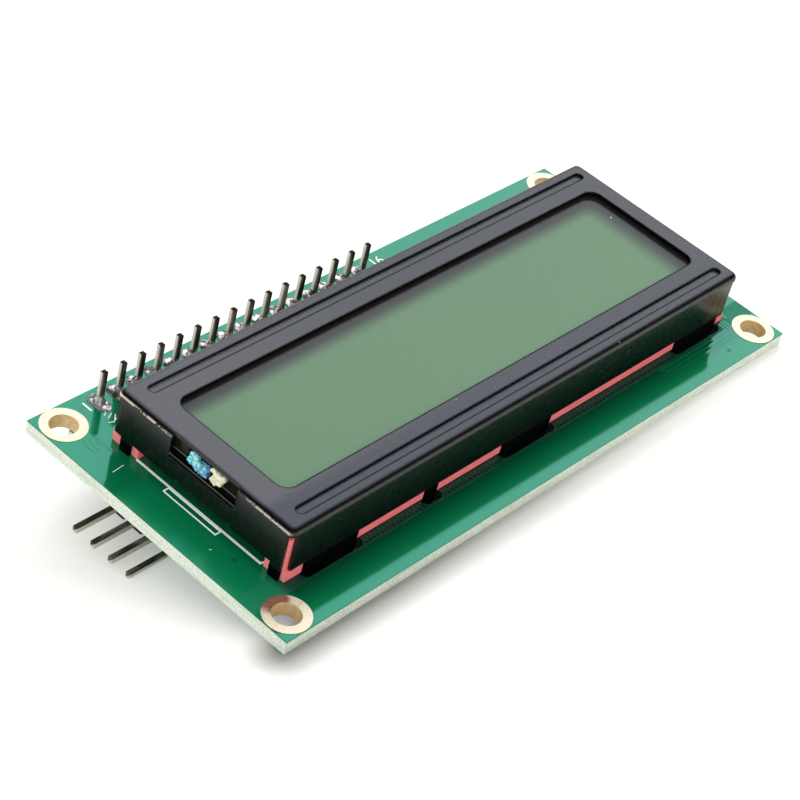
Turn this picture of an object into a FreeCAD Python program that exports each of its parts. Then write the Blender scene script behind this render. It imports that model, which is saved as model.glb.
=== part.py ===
"""A two-line character display module with a serial adapter board soldered beneath it.

Frame: the origin is the centre of the four mounting holes on the top face of the display board,
+X runs along the display away from pin 1, +Y towards the row of header pins and +Z out of the glass.
"""

import FreeCAD, Part
import math
import os
import Sketcher

SIZES = {
    # display board
    "board_length": 80.0,
    "board_width": 36.0,
    "board_thickness": 1.6,
    "hole_inset": 2.5,
    "mounting_hole": 3.0,
    "plating_wall": 0.1,
    "ring_diameter": 4.9,
    "copper_height": 0.05,
    # sixteen-pin header between the two boards
    "pin_count": 16,
    "pin_pitch": 2.54,
    "header_pin_width": 0.56,
    "pin_width": 0.64,
    "pin_point": 0.2,
    "pin_hole": 1.0,
    "pin_one_inset": 7.55,
    "header_row_inset": 2.0,
    "header_rise": 4.3,
    "header_tail": 1.4,
    "spacer_height": 2.54,
    "spacer_width": 2.5,
    "spacer_notch": 0.5,
    "solder_height": 1.25,
    "solder_top_radius": 0.5,
    "pad_width": 1.9,
    "pad_length": 3.1,
    # folded steel bezel
    "sheet_metal": 0.4,
    "bezel_height": 6.65,
    "bezel_left_margin": 4.7,
    "bezel_right_margin": 4.3,
    "bezel_front_margin": 5.5,
    "bezel_back_margin": 6.5,
    "bezel_corner": 0.8,
    "fold_radius": 0.65,
    "seam_length": 0.92,
    "seam_depth": 0.6,
    "seam_drop": 0.8,
    "window_left_margin": 3.45,
    "window_right_margin": 2.65,
    "window_front_margin": 4.45,
    "window_back_margin": 4.4,
    "window_corner": 1.4,
    "groove_left_margin": 2.4,
    "groove_right_margin": 1.6,
    "groove_width": 1.05,
    "groove_depth": 0.3,
    "groove_inset": 1.93,
    "bead_wall": 0.25,
    "skirt_lift": 1.3,
    "end_skirt_lift": 1.65,
    "foot_one_run": 6.65,
    "foot_one_width": 7.5,
    "foot_two_run": 21.05,
    "foot_three_run": 35.15,
    "foot_three_width": 7.8,
    "foot_four_run": 5.65,
    "foot_four_width": 7.7,
    "end_foot_width": 1.3,
    "end_foot_inset": 1.55,
    "tab_width": 1.9,
    "tab_neck": 0.2,
    "tab_twist_length": 1.1,
    "tab_twist_angle": 50.0,
    "slot_clearance": 0.15,
    "slot_reach": 0.85,
    "slot_run": 0.4,
    "port_front_run": 7.3,
    "port_width": 8.95,
    "port_sill": 4.25,
    # liquid-crystal cell
    "glass_thickness": 0.7,
    "cell_gap": 0.1,
    "polariser_thickness": 0.2,
    "glass_end_gap": 0.4,
    "glass_side_gap": 0.1,
    "polariser_margin": 1.2,
    "rear_polariser_inset": 0.5,
    "seal_inset": 0.1,
    "seal_width": 0.55,
    "fill_port": 2.0,
    "plug_offset": 1.12,
    "plug_width": 3.0,
    "bead_width": 2.3,
    "plug_proud": 0.38,
    "plug_drop": 1.6,
    # rubber contact strips
    "front_strip_width": 2.4,
    "back_strip_width": 3.3,
    "strip_gap": 0.1,
    "strip_end_gap": 0.05,
    "strip_bulge": 0.32,
    "bulge_gap": 0.12,
    # backlight
    "tray_wall": 0.8,
    "tray_floor": 0.6,
    "tray_side_gap": 0.25,
    "tray_end_inset": 1.7,
    "diffuser_thickness": 0.2,
    "lamp_bay": 2.6,
    "lamp_board_thickness": 0.8,
    "lamp_count": 4,
    "lamp_width": 3.0,
    "lamp_height": 1.6,
    "lamp_depth": 1.1,
    "lamp_end_gap": 0.2,
    "lead_size": 0.6,
    "lead_pitch": 2.54,
    "lead_tail": 1.2,
    # parts on the back of the display board
    "blob_radius": 7.5,
    "blob_height": 1.4,
    "blob_left_x": -10.0,
    "blob_right_x": 19.5,
    "blob_y": -5.0,
    "chip_length": 2.0,
    "chip_width": 1.25,
    "chip_height": 0.55,
    "chip_pitch": 3.6,
    "display_chip_inset": 11.0,
    "display_chip_back_inset": 14.0,
    "display_resistor_count": 4,
    "display_capacitor_inset": 3.2,
    "display_capacitor_count": 2,
    # adapter board
    "adapter_end": 1.75,
    "adapter_width": 19.0,
    "adapter_thickness": 1.6,
    "adapter_edge": 1.8,
    "side_pin_count": 4,
    "side_row_inset": 12.75,
    "side_reach": 6.0,
    "housing_size": 2.54,
    "housing_overhang": 0.75,
    "bend_run": 1.3,
    "bend_radius": 0.4,
    "side_pin_rise": 0.8,
    "soic_end_inset": 13.7,
    "soic_back_inset": 9.8,
    "soic_length": 10.3,
    "soic_width": 7.5,
    "soic_height": 2.3,
    "soic_standoff": 0.15,
    "soic_draft": 0.25,
    "soic_pitch": 1.27,
    "soic_lead_count": 8,
    "lead_width": 0.42,
    "lead_thickness": 0.25,
    "lead_reach": 1.4,
    "lead_foot": 0.8,
    "dimple_radius": 0.5,
    "dimple_depth": 0.15,
    # trimmer
    "trimmer_end_inset": 13.4,
    "trimmer_back_inset": 8.1,
    "trimmer_size": 6.8,
    "trimmer_height": 4.9,
    "trimmer_foot": 0.3,
    "rotor_radius": 2.3,
    "rotor_depth": 1.4,
    "rotor_recess": 0.1,
    "rotor_clearance": 0.05,
    "driver_slot_width": 0.7,
    "driver_slot_depth": 0.7,
    "trimmer_pin_size": 0.5,
    "trimmer_pin_spread": 2.54,
    "trimmer_pin_row": 1.27,
    # jumper
    "jumper_back_inset": 9.8,
    "jumper_pin_count": 2,
    "cap_length": 6.2,
    "cap_wall": 0.65,
    "cap_gap": 0.05,
    "clip_length": 3.6,
    "clip_clearance": 0.03,
    # other surface-mount parts on the adapter
    "resistor_end_inset": 8.2,
    "resistor_front_inset": 2.1,
    "resistor_count": 5,
    "capacitor_end_inset": 5.0,
    "capacitor_back_inset": 7.0,
    "capacitor_count": 2,
    "indicator_end_inset": 3.2,
    "indicator_front_inset": 2.8,
    "transistor_end_inset": 8.6,
    "transistor_front_inset": 3.4,
    "transistor_length": 2.9,
    "transistor_width": 1.3,
    "transistor_height": 1.0,
    "transistor_lead": 0.4,
    "link_end_inset": 21.0,
    "link_front_inset": 4.6,
    "link_count": 3,
    "link_pad": 0.9,
    "link_gap": 0.25,
    "link_pitch": 2.0,
}


class Size:
    """A length together with the spreadsheet expression that gives it."""

    def __init__(self, value, text):
        self.value = value
        self.text = text

    def __add__(self, other):
        other = size_of(other)
        return Size(self.value + other.value, f"({self.text} + {other.text})")

    def __sub__(self, other):
        other = size_of(other)
        return Size(self.value - other.value, f"({self.text} - {other.text})")

    def __rsub__(self, other):
        return size_of(other) - self

    def __mul__(self, factor):
        factor = size_of(factor)
        return Size(self.value * factor.value, f"({self.text} * {factor.text})")

    def __truediv__(self, divisor):
        divisor = size_of(divisor)
        return Size(self.value / divisor.value, f"({self.text} / {divisor.text})")

    def __neg__(self):
        return Size(-self.value, f"(-{self.text})")


def size_of(number):
    return number if isinstance(number, Size) else Size(float(number), repr(float(number)))


class Sizes:
    """Gives each named size as an attribute."""

    def __getattr__(self, name):
        return Size(float(SIZES[name]), f"Dimensions.{name}")


d = Sizes()
ZERO = size_of(0)
doc = FreeCAD.newDocument("DisplayModule")


def fill_sheet():
    sheet = doc.addObject("Spreadsheet::Sheet", "Dimensions")
    for row, (name, value) in enumerate(SIZES.items(), start=1):
        sheet.set(f"A{row}", name)
        sheet.set(f"B{row}", str(value))
        sheet.setAlias(f"B{row}", name)
    doc.recompute()


# plain solids and the ways they are combined


def place(item, x, y, z):
    for axis, value in zip("xyz", (x, y, z)):
        item.setExpression(f"Placement.Base.{axis}", size_of(value).text)
    return item


def box(x0, x1, y0, y1, z0, z1):
    x0, x1, y0, y1, z0, z1 = (size_of(v) for v in (x0, x1, y0, y1, z0, z1))
    item = doc.addObject("Part::Box", "Block")
    item.setExpression("Length", (x1 - x0).text)
    item.setExpression("Width", (y1 - y0).text)
    item.setExpression("Height", (z1 - z0).text)
    return place(item, x0, y0, z0)


def box_at(x, y, length, width, z0, z1):
    return box(x - length / 2, x + length / 2, y - width / 2, y + width / 2, z0, z1)


def fuse(label, parts):
    item = doc.addObject("Part::MultiFuse", label)
    item.Shapes = parts
    item.Refine = True
    item.Label = label
    return item


def cut(label, base, tools):
    item = doc.addObject("Part::Cut", label)
    item.Base = base
    item.Tool = tools[0] if len(tools) == 1 else fuse(label + "_tools", tools)
    item.Label = label
    return item


def group(label, parts):
    item = doc.addObject("Part::Compound", label)
    item.Links = parts
    item.Label = label
    return item


# part design bodies


def new_body(label):
    body = doc.addObject("PartDesign::Body", label)
    body.Label = label
    return body


def origin_feature(body, role):
    return next(f for f in body.Origin.OriginFeatures if f.Role == role)


def new_sketch(body, name, role="XY_Plane", level=ZERO):
    sketch = body.newObject("Sketcher::SketchObject", name)
    sketch.AttachmentSupport = [(origin_feature(body, role), "")]
    sketch.MapMode = "FlatFace"
    sketch.setExpression("AttachmentOffset.Base.z", size_of(level).text)
    return sketch


def pin_point(sketch, geometry, position, x, y):
    """Ties one point of a sketch to a place given by two sizes."""
    for kind, value in (("DistanceX", size_of(x)), ("DistanceY", size_of(y))):
        index = sketch.addConstraint(
            Sketcher.Constraint(kind, -1, 1, geometry, position, value.value)
        )
        sketch.setExpression(f"Constraints[{index}]", value.text)


def outline(sketch, points):
    """Draws a closed polygon through the points."""
    points = [(size_of(x), size_of(y)) for x, y in points]
    first = sketch.GeometryCount
    count = len(points)
    for i, (x, y) in enumerate(points):
        x_next, y_next = points[(i + 1) % count]
        start = FreeCAD.Vector(x.value, y.value, 0)
        sketch.addGeometry(Part.LineSegment(start, FreeCAD.Vector(x_next.value, y_next.value, 0)))
    for i, (x, y) in enumerate(points):
        sketch.addConstraint(
            Sketcher.Constraint("Coincident", first + i, 2, first + (i + 1) % count, 1)
        )
        pin_point(sketch, first + i, 1, x, y)
    return sketch


def rectangle(sketch, x0, x1, y0, y1):
    return outline(sketch, [(x0, y0), (x1, y0), (x1, y1), (x0, y1)])


def rectangle_at(sketch, x, y, length, width):
    return rectangle(sketch, x - length / 2, x + length / 2, y - width / 2, y + width / 2)


def circle(sketch, x, y, radius):
    x, y, radius = (size_of(v) for v in (x, y, radius))
    centre = FreeCAD.Vector(x.value, y.value, 0)
    index = sketch.addGeometry(Part.Circle(centre, FreeCAD.Vector(0, 0, 1), radius.value))
    pin_point(sketch, index, 3, x, y)
    limit = sketch.addConstraint(Sketcher.Constraint("Radius", index, radius.value))
    sketch.setExpression(f"Constraints[{limit}]", radius.text)
    return sketch


def obround(sketch, x, y, length, width, upright=False):
    """Draws a slot with round ends, centred on a point and lying along X or, upright, along Y."""
    x, y, length, width = (size_of(v) for v in (x, y, length, width))
    run = (length - width) / 2
    radius = width / 2
    ends = [(x, y - run), (x, y + run)] if upright else [(x - run, y), (x + run, y)]
    turn = math.pi / 2 if upright else 0.0
    arcs = []
    for side, (cx, cy) in enumerate(ends):
        start = turn + math.pi / 2 + side * math.pi
        base = Part.Circle(
            FreeCAD.Vector(cx.value, cy.value, 0), FreeCAD.Vector(0, 0, 1), radius.value
        )
        arcs.append(sketch.addGeometry(Part.ArcOfCircle(base, start, start + math.pi)))
    sides = []
    for a, b in ((0, 1), (1, 0)):
        start = sketch.getPoint(arcs[a], 2)
        sides.append(sketch.addGeometry(Part.LineSegment(start, sketch.getPoint(arcs[b], 1))))
    for a, b in ((0, 1), (1, 0)):
        sketch.addConstraint(Sketcher.Constraint("Tangent", arcs[a], 2, sides[a], 1))
        sketch.addConstraint(Sketcher.Constraint("Tangent", sides[a], 2, arcs[b], 1))
    sketch.addConstraint(Sketcher.Constraint("Equal", arcs[0], arcs[1]))
    limit = sketch.addConstraint(Sketcher.Constraint("Radius", arcs[0], radius.value))
    sketch.setExpression(f"Constraints[{limit}]", radius.text)
    for arc, (cx, cy) in zip(arcs, ends):
        pin_point(sketch, arc, 3, cx, cy)
    return sketch


def pad(body, sketch, length, downward=False):
    feature = body.newObject("PartDesign::Pad", sketch.Name + "_pad")
    feature.Profile = sketch
    feature.setExpression("Length", size_of(length).text)
    feature.Reversed = downward
    return feature


def pocket(body, sketch, depth=None, reverse=False):
    """Cuts a sketch to a depth against the sketch's normal, or right through when no depth is given."""
    feature = body.newObject("PartDesign::Pocket", sketch.Name + "_pocket")
    feature.Profile = sketch
    if depth is None:
        feature.Type = "ThroughAll"
        feature.Midplane = True
    else:
        feature.setExpression("Length", size_of(depth).text)
    feature.Reversed = reverse
    return feature


def revolve(body, sketch):
    """Turns a profile drawn on the upright plane about the vertical axis."""
    feature = body.newObject("PartDesign::Revolution", sketch.Name + "_turned")
    feature.Profile = sketch
    feature.ReferenceAxis = (sketch, ["V_Axis"])
    feature.Angle = 360.0
    return feature


def pattern_step(body, role, pitch, count):
    """A linear pattern along one of the body's axes, not yet told what it repeats."""
    pattern = body.newObject("PartDesign::LinearPattern", "step")
    pattern.Direction = (origin_feature(body, role), [""])
    pattern.Mode = "Spacing"
    pattern.setExpression("Offset", size_of(pitch).text)
    pattern.setExpression("Occurrences", size_of(count).text)
    return pattern


def mirror_step(body, role):
    mirrored = body.newObject("PartDesign::Mirrored", "mirror")
    mirrored.MirrorPlane = (origin_feature(body, role), [""])
    return mirrored


def repeat(body, features, role, pitch, count):
    """Repeats features along one of the body's axes."""
    pattern = pattern_step(body, role, pitch, count)
    pattern.Originals = features
    body.Tip = pattern
    return pattern


def repeat_both_ways(body, features, steps):
    """Repeats features by one pattern and then all of those by the next."""
    rows = body.newObject("PartDesign::MultiTransform", features[0].Name + "_rows")
    rows.Originals = features
    rows.Transformations = steps
    body.Tip = rows
    return rows


def round_edges(body, feature, wanted, radius, kind="Fillet"):
    """Rounds, or bevels, the edges of a feature that answer a test."""
    doc.recompute()
    names = [f"Edge{i}" for i, edge in enumerate(feature.Shape.Edges, start=1) if wanted(edge)]
    rounded = body.newObject("PartDesign::" + kind, feature.Name + "_" + kind.lower())
    rounded.Base = (feature, names)
    rounded.setExpression("Radius" if kind == "Fillet" else "Size", size_of(radius).text)
    return rounded


def is_upright(edge):
    return abs(edge.tangentAt(edge.FirstParameter).z) > 0.99


def lies_at(edge, level):
    limits = edge.BoundBox
    return abs(limits.ZMin - level.value) < 0.001 and abs(limits.ZMax - level.value) < 0.001


# levels and edges that several pieces share

board_bottom = -d.board_thickness
board_right = d.board_length / 2
board_back = d.board_width / 2
hole_x = board_right - d.hole_inset
hole_y = board_back - d.hole_inset
first_pin_x = d.pin_one_inset - board_right
header_row_y = board_back - d.header_row_inset

bezel_left = d.bezel_left_margin - board_right
bezel_right = board_right - d.bezel_right_margin
bezel_front = d.bezel_front_margin - board_back
bezel_back = board_back - d.bezel_back_margin
window_left = bezel_left + d.window_left_margin
window_right = bezel_right - d.window_right_margin
window_front = bezel_front + d.window_front_margin
window_back = bezel_back - d.window_back_margin
groove_left = bezel_left + d.groove_left_margin
groove_right = bezel_right - d.groove_right_margin
groove_x = (groove_left + groove_right) / 2
groove_length = groove_right - groove_left
port_y = bezel_front + d.port_front_run + d.port_width / 2
plug_y = port_y + d.plug_offset
bead_y = plug_y - (d.plug_width + d.bead_width) / 2
bezel_underside = d.bezel_height - d.sheet_metal
inner_left = bezel_left + d.sheet_metal
inner_right = bezel_right - d.sheet_metal
inner_front = bezel_front + d.sheet_metal
inner_back = bezel_back - d.sheet_metal
groove_front_y = bezel_front + d.groove_inset
groove_back_y = bezel_back - d.groove_inset

glass_top = bezel_underside - d.groove_depth
glass_underside = glass_top - d.glass_thickness
rear_glass_top = glass_underside - d.cell_gap
rear_glass_underside = rear_glass_top - d.glass_thickness
rear_film_underside = rear_glass_underside - d.polariser_thickness
diffuser_underside = rear_film_underside - d.diffuser_thickness
glass_left = inner_left + d.glass_end_gap
glass_right = inner_right - d.glass_end_gap
glass_front = inner_front + d.glass_side_gap
glass_back = inner_back - d.glass_side_gap
strip_front_inner = inner_front + d.front_strip_width
strip_back_inner = inner_back - d.back_strip_width
cell_front = strip_front_inner + d.strip_gap
cell_back = strip_back_inner - d.strip_gap

tray_left = inner_left + d.tray_end_inset
tray_right = inner_right - d.tray_end_inset
tray_front = strip_front_inner + d.tray_side_gap
tray_back = strip_back_inner - d.tray_side_gap
cavity_left = tray_left + d.tray_wall
cavity_right = tray_right - d.tray_wall
cavity_front = tray_front + d.tray_wall
cavity_back = tray_back - d.tray_wall
lamp_board_x = cavity_right - d.lamp_board_thickness / 2
lamp_y = (cavity_front + cavity_back) / 2
lamp_z = (d.tray_floor + diffuser_underside) / 2
lamp_span = cavity_back - cavity_front - d.lamp_width - d.lamp_end_gap * 2
lamp_pitch = lamp_span / (d.lamp_count - 1)

adapter_top = board_bottom - d.spacer_height
adapter_bottom = adapter_top - d.adapter_thickness
adapter_left = first_pin_x - d.adapter_end
adapter_right = first_pin_x + d.pin_pitch * (d.pin_count - 1) + d.adapter_end
adapter_back = header_row_y + d.adapter_edge
adapter_front = adapter_back - d.adapter_width
side_row_y = adapter_back - d.side_row_inset
jumper_y = adapter_back - d.jumper_back_inset
soic_x = adapter_left + d.soic_end_inset
soic_y = adapter_back - d.soic_back_inset
trimmer_x = adapter_right - d.trimmer_end_inset
trimmer_y = adapter_back - d.trimmer_back_inset
side_pin_z = adapter_bottom - d.housing_size / 2
side_first_y = side_row_y - d.pin_pitch * (d.side_pin_count - 1) / 2
side_housing_left = adapter_left - d.housing_overhang
side_solder_x = side_housing_left + d.housing_size + d.bend_run
jumper_first_y = jumper_y - d.pin_pitch * (d.jumper_pin_count - 1) / 2
jumper_housing_right = adapter_right + d.housing_overhang
jumper_solder_x = jumper_housing_right - d.housing_size - d.bend_run

FEET = [
    (bezel_left + d.foot_one_run, d.foot_one_width),
    (bezel_left + d.foot_two_run, d.tab_width),
    (bezel_right - d.foot_three_run, d.foot_three_width),
    (bezel_right - d.foot_four_run, d.foot_four_width),
]
BACKLIGHT_LEADS = [(lamp_board_x, lamp_y + d.lead_pitch / 2 * side) for side in (-1, 1)]
TRIMMER_PINS = [
    (trimmer_x - d.trimmer_pin_spread, trimmer_y - d.trimmer_pin_row),
    (trimmer_x + d.trimmer_pin_spread, trimmer_y - d.trimmer_pin_row),
    (trimmer_x, trimmer_y + d.trimmer_pin_row),
]


# the display board and what is plated or soldered into it


def main_board():
    """Fibreglass board with mounting holes, header holes, tab slots and backlight lead holes."""
    body = new_body("main_board")
    plate = pad(
        body,
        rectangle_at(new_sketch(body, "board_outline"), ZERO, ZERO, d.board_length, d.board_width),
        d.board_thickness,
        downward=True,
    )
    holes = new_sketch(body, "mounting_holes")
    for side_x in (-1, 1):
        for side_y in (-1, 1):
            circle(
                holes,
                hole_x * side_x,
                hole_y * side_y,
                d.mounting_hole / 2 + d.plating_wall,
            )
    pocket(body, holes)
    pin_hole = pocket(
        body, circle(new_sketch(body, "header_hole"), first_pin_x, header_row_y, d.pin_hole / 2)
    )
    repeat(body, [pin_hole], "X_Axis", d.pin_pitch, d.pin_count)
    slots = new_sketch(body, "tab_slots")
    slot_width = d.slot_reach + d.sheet_metal + d.slot_clearance
    for x, width in FEET:
        for face, outward in ((bezel_front, -1), (bezel_back, 1)):
            y = face + (d.slot_reach * 2 - slot_width) / 2 * outward
            obround(slots, x, y, width + d.slot_run * 2, slot_width)
    pocket(body, slots)
    leads = new_sketch(body, "lead_holes")
    for x, y in BACKLIGHT_LEADS:
        circle(leads, x, y, d.pin_hole / 2)
    body.Tip = pocket(body, leads)
    return body


def mounting_hole_plating():
    """Four plated rings, each a barrel through the board with a flange on both faces."""
    body = new_body("mounting_hole_plating")
    profile = new_sketch(body, "ring_profile", "XZ_Plane")
    bore = d.mounting_hole / 2
    barrel = bore + d.plating_wall
    rim = d.ring_diameter / 2
    outline(
        profile,
        [
            (bore, board_bottom - d.copper_height),
            (rim, board_bottom - d.copper_height),
            (rim, board_bottom),
            (barrel, board_bottom),
            (barrel, ZERO),
            (rim, ZERO),
            (rim, d.copper_height),
            (bore, d.copper_height),
        ],
    )
    ring = revolve(body, profile)
    steps = [
        pattern_step(body, "X_Axis", hole_x * 2, 2),
        pattern_step(body, "Y_Axis", hole_y * 2, 2),
    ]
    repeat_both_ways(body, [ring], steps)
    return place(body, -hole_x, -hole_y, 0)


def solder_row(label, row, base_z, upward, count, role, pin_width):
    """A row of solder joints: an oblong pad with a cone of solder drawn up around a square pin."""
    body = new_body(label)
    sign = 1 if upward else -1
    land = new_sketch(body, label + "_pad")
    obround(land, ZERO, ZERO, d.pad_length, d.pad_width, upright=role == "X_Axis")
    land_pad = pad(body, land, d.copper_height, downward=not upward)
    profile = new_sketch(body, label + "_cone", "XZ_Plane")
    waist = (d.pad_width / 2 + d.solder_top_radius) / 2.4
    outline(
        profile,
        [
            (ZERO, ZERO),
            (d.pad_width / 2, ZERO),
            (d.pad_width / 2, d.copper_height * sign),
            (waist, d.solder_height * sign / 2.5),
            (d.solder_top_radius, d.solder_height * sign),
            (ZERO, d.solder_height * sign),
        ],
    )
    cone = revolve(body, profile)
    hole = new_sketch(body, label + "_pin_hole")
    hole_cut = pocket(body, rectangle_at(hole, ZERO, ZERO, pin_width, pin_width))
    repeat(body, [land_pad, cone, hole_cut], role, d.pin_pitch, count)
    return place(body, row[0], row[1], base_z)


def solder_joints(label, places, base_z, upward, pin_size):
    """Separate solder cones round square pins, on round lands."""
    joints = []
    for x, y in places:
        cone = doc.addObject("Part::Cone", "SolderCone")
        narrow = d.solder_top_radius.text
        wide = (d.pad_width / 2).text
        cone.setExpression("Radius1", wide if upward else narrow)
        cone.setExpression("Radius2", narrow if upward else wide)
        cone.setExpression("Height", (d.solder_height / 2).text)
        low = base_z if upward else base_z - d.solder_height / 2
        place(cone, x, y, low)
        pin = box_at(x, y, pin_size, pin_size, low, low + d.solder_height / 2)
        joints.append(cut("SolderJoint", cone, [pin]))
    return group(label, joints)


# the sixteen-pin header


def pin_row(label, length, role, count):
    """Square pins with pointed ends, standing up from the body's own origin."""
    body = new_body(label)
    width = d.header_pin_width
    section = rectangle_at(new_sketch(body, label + "_section"), ZERO, ZERO, width, width)
    shank = pad(body, section, length)
    ends = round_edges(
        body, shank, lambda e: not is_upright(e), d.pin_point, "Chamfer"
    )
    repeat(body, [shank, ends], role, d.pin_pitch, count)
    return body


def header_pins():
    top = d.header_rise
    bottom = adapter_bottom - d.header_tail
    body = pin_row("header_pins", top - bottom, "X_Axis", d.pin_count)
    return place(body, first_pin_x, header_row_y, bottom)


def header_spacer():
    """Moulded strip that holds the pins, notched between one pin and the next."""
    body = new_body("header_spacer")
    half = d.pin_pitch / 2
    side = d.spacer_width / 2
    notch = d.spacer_notch
    cell = outline(
        new_sketch(body, "cell_outline"),
        [
            (-half, -side + notch),
            (-half + notch, -side),
            (half - notch, -side),
            (half, -side + notch),
            (half, side - notch),
            (half - notch, side),
            (-half + notch, side),
            (-half, side - notch),
        ],
    )
    cell_pad = pad(body, cell, d.spacer_height)
    width = d.header_pin_width
    hole = rectangle_at(new_sketch(body, "cell_hole"), ZERO, ZERO, width, width)
    hole_cut = pocket(body, hole)
    repeat(body, [cell_pad, hole_cut], "X_Axis", d.pin_pitch, d.pin_count)
    return place(body, first_pin_x, header_row_y, adapter_top)


# the folded steel bezel


def bezel_shell():
    """The pressed and folded sheet: top, skirts, window, stiffening channels and filling opening."""
    body = new_body("bezel_shell")
    outer = rectangle(
        new_sketch(body, "bezel_outline", level=d.skirt_lift),
        bezel_left,
        bezel_right,
        bezel_front,
        bezel_back,
    )
    block = pad(body, outer, d.bezel_height - d.skirt_lift)
    corners = round_edges(body, block, is_upright, d.bezel_corner)
    folds = round_edges(body, corners, lambda e: lies_at(e, d.bezel_height), d.fold_radius)
    inside = rectangle(
        new_sketch(body, "bezel_cavity", level=bezel_underside),
        inner_left,
        inner_right,
        inner_front,
        inner_back,
    )
    pocket(body, inside, bezel_underside - d.skirt_lift)
    beads = new_sketch(body, "channel_beads", level=bezel_underside)
    channels = new_sketch(body, "channels", level=d.bezel_height)
    for y in (groove_front_y, groove_back_y):
        bead_width = d.groove_width + d.bead_wall * 2
        bead_length = groove_length + d.bead_wall * 2
        obround(beads, groove_x, y, bead_length, bead_width)
        obround(channels, groove_x, y, groove_length, d.groove_width)
    pad(body, beads, d.groove_depth, downward=True)
    pocket(body, channels, d.groove_depth)
    window = rectangle(
        new_sketch(body, "window", level=d.bezel_height),
        window_left,
        window_right,
        window_front,
        window_back,
    )
    opening = pocket(body, window, d.sheet_metal)

    def in_window(edge):
        centre = edge.CenterOfMass
        near_x = window_left.value - 0.01 < centre.x < window_right.value + 0.01
        near_y = window_front.value - 0.01 < centre.y < window_back.value + 0.01
        return is_upright(edge) and near_x and near_y

    round_edges(body, opening, in_window, d.window_corner)
    seams = new_sketch(body, "corner_seams", level=d.bezel_height - d.seam_drop)
    for x, side_x in ((bezel_left, 1), (bezel_right, -1)):
        for y, side_y in ((bezel_front, 1), (bezel_back, -1)):
            x_end = x + d.seam_length * side_x
            y_end = y + d.seam_depth * side_y
            x_low, x_high = (x, x_end) if side_x > 0 else (x_end, x)
            y_low, y_high = (y, y_end) if side_y > 0 else (y_end, y)
            rectangle(seams, x_low, x_high, y_low, y_high)
    pocket(body, seams, d.bezel_height - d.seam_drop - d.skirt_lift)
    port = rectangle(
        new_sketch(body, "filling_opening", "YZ_Plane", level=inner_left),
        port_y - d.port_width / 2,
        port_y + d.port_width / 2,
        d.port_sill,
        d.bezel_height,
    )
    pocket(body, port, d.sheet_metal)
    feet = new_sketch(body, "feet", level=d.skirt_lift)
    for x, width in FEET:
        rectangle(feet, x - width / 2, x + width / 2, bezel_front, inner_front)
        rectangle(feet, x - width / 2, x + width / 2, inner_back, bezel_back)
    pad(body, feet, d.skirt_lift + d.board_thickness, downward=True)
    raised = new_sketch(body, "end_skirt_edges", level=d.end_skirt_lift)
    end_feet = new_sketch(body, "end_feet", level=d.end_skirt_lift)
    for x0, x1 in ((bezel_left, inner_left), (inner_right, bezel_right)):
        front_y = bezel_front + d.seam_depth
        rectangle(raised, x0, x1, front_y, bezel_back - d.seam_depth)
        rectangle(end_feet, x0, x1, front_y, front_y + d.end_foot_width)
        back_y = bezel_back - d.end_foot_inset
        rectangle(end_feet, x0, x1, back_y - d.end_foot_width, back_y)
    pocket(body, raised, d.end_skirt_lift - d.skirt_lift)
    pad(body, end_feet, d.end_skirt_lift, downward=True)
    tabs = new_sketch(body, "tabs")
    for x, _ in FEET:
        rectangle(tabs, x - d.tab_width / 2, x + d.tab_width / 2, bezel_front, inner_front)
        rectangle(tabs, x - d.tab_width / 2, x + d.tab_width / 2, inner_back, bezel_back)
    body.Tip = pad(body, tabs, d.board_thickness + d.tab_neck, downward=True)
    return body


def twisted_tab(x, y, angle):
    """The end of a tab, turned behind the board to lock the bezel down."""
    tip = doc.addObject("Part::Box", "TabEnd")
    tip.setExpression("Length", d.tab_width.text)
    tip.setExpression("Width", d.sheet_metal.text)
    tip.setExpression("Height", d.tab_twist_length.text)
    turn = angle.text
    reach_x = f"({d.tab_width.text} / 2)"
    reach_y = f"({d.sheet_metal.text} / 2)"
    tip.setExpression("Placement.Rotation.Angle", turn)
    tip.Placement.Rotation.Axis = FreeCAD.Vector(0, 0, 1)
    tip.setExpression(
        "Placement.Base.x",
        f"{x.text} - {reach_x} * cos({turn} * 1 deg) + {reach_y} * sin({turn} * 1 deg)",
    )
    tip.setExpression(
        "Placement.Base.y",
        f"{y.text} - {reach_x} * sin({turn} * 1 deg) - {reach_y} * cos({turn} * 1 deg)",
    )
    bottom = board_bottom - d.tab_neck - d.tab_twist_length
    tip.setExpression("Placement.Base.z", bottom.text)
    return tip


def bezel():
    shell = bezel_shell()
    tips = []
    for x, _ in FEET:
        for y in (bezel_front + d.sheet_metal / 2, bezel_back - d.sheet_metal / 2):
            tips.append(twisted_tab(x, y, d.tab_twist_angle))
    return fuse("bezel", [shell] + tips)


# the liquid-crystal cell, its contact strips and the backlight


def front_glass():
    sheet = box(glass_left, glass_right, glass_front, glass_back, glass_underside, glass_top)
    sheet.Label = "front_glass"
    return sheet


def rear_glass():
    sheet = box(glass_left, glass_right, cell_front, cell_back, rear_glass_underside, rear_glass_top)
    sheet.Label = "rear_glass"
    return sheet


def front_polariser():
    margin = d.polariser_margin
    film = box(
        window_left - margin,
        window_right + margin,
        window_front - margin,
        window_back + margin,
        glass_top,
        glass_top + d.polariser_thickness,
    )
    film.Label = "front_polariser"
    return film


def rear_polariser():
    inset = d.rear_polariser_inset
    film = box(
        glass_left + inset,
        glass_right - inset,
        cell_front + inset,
        cell_back - inset,
        rear_film_underside,
        rear_glass_underside,
    )
    film.Label = "rear_polariser"
    return film


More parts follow.
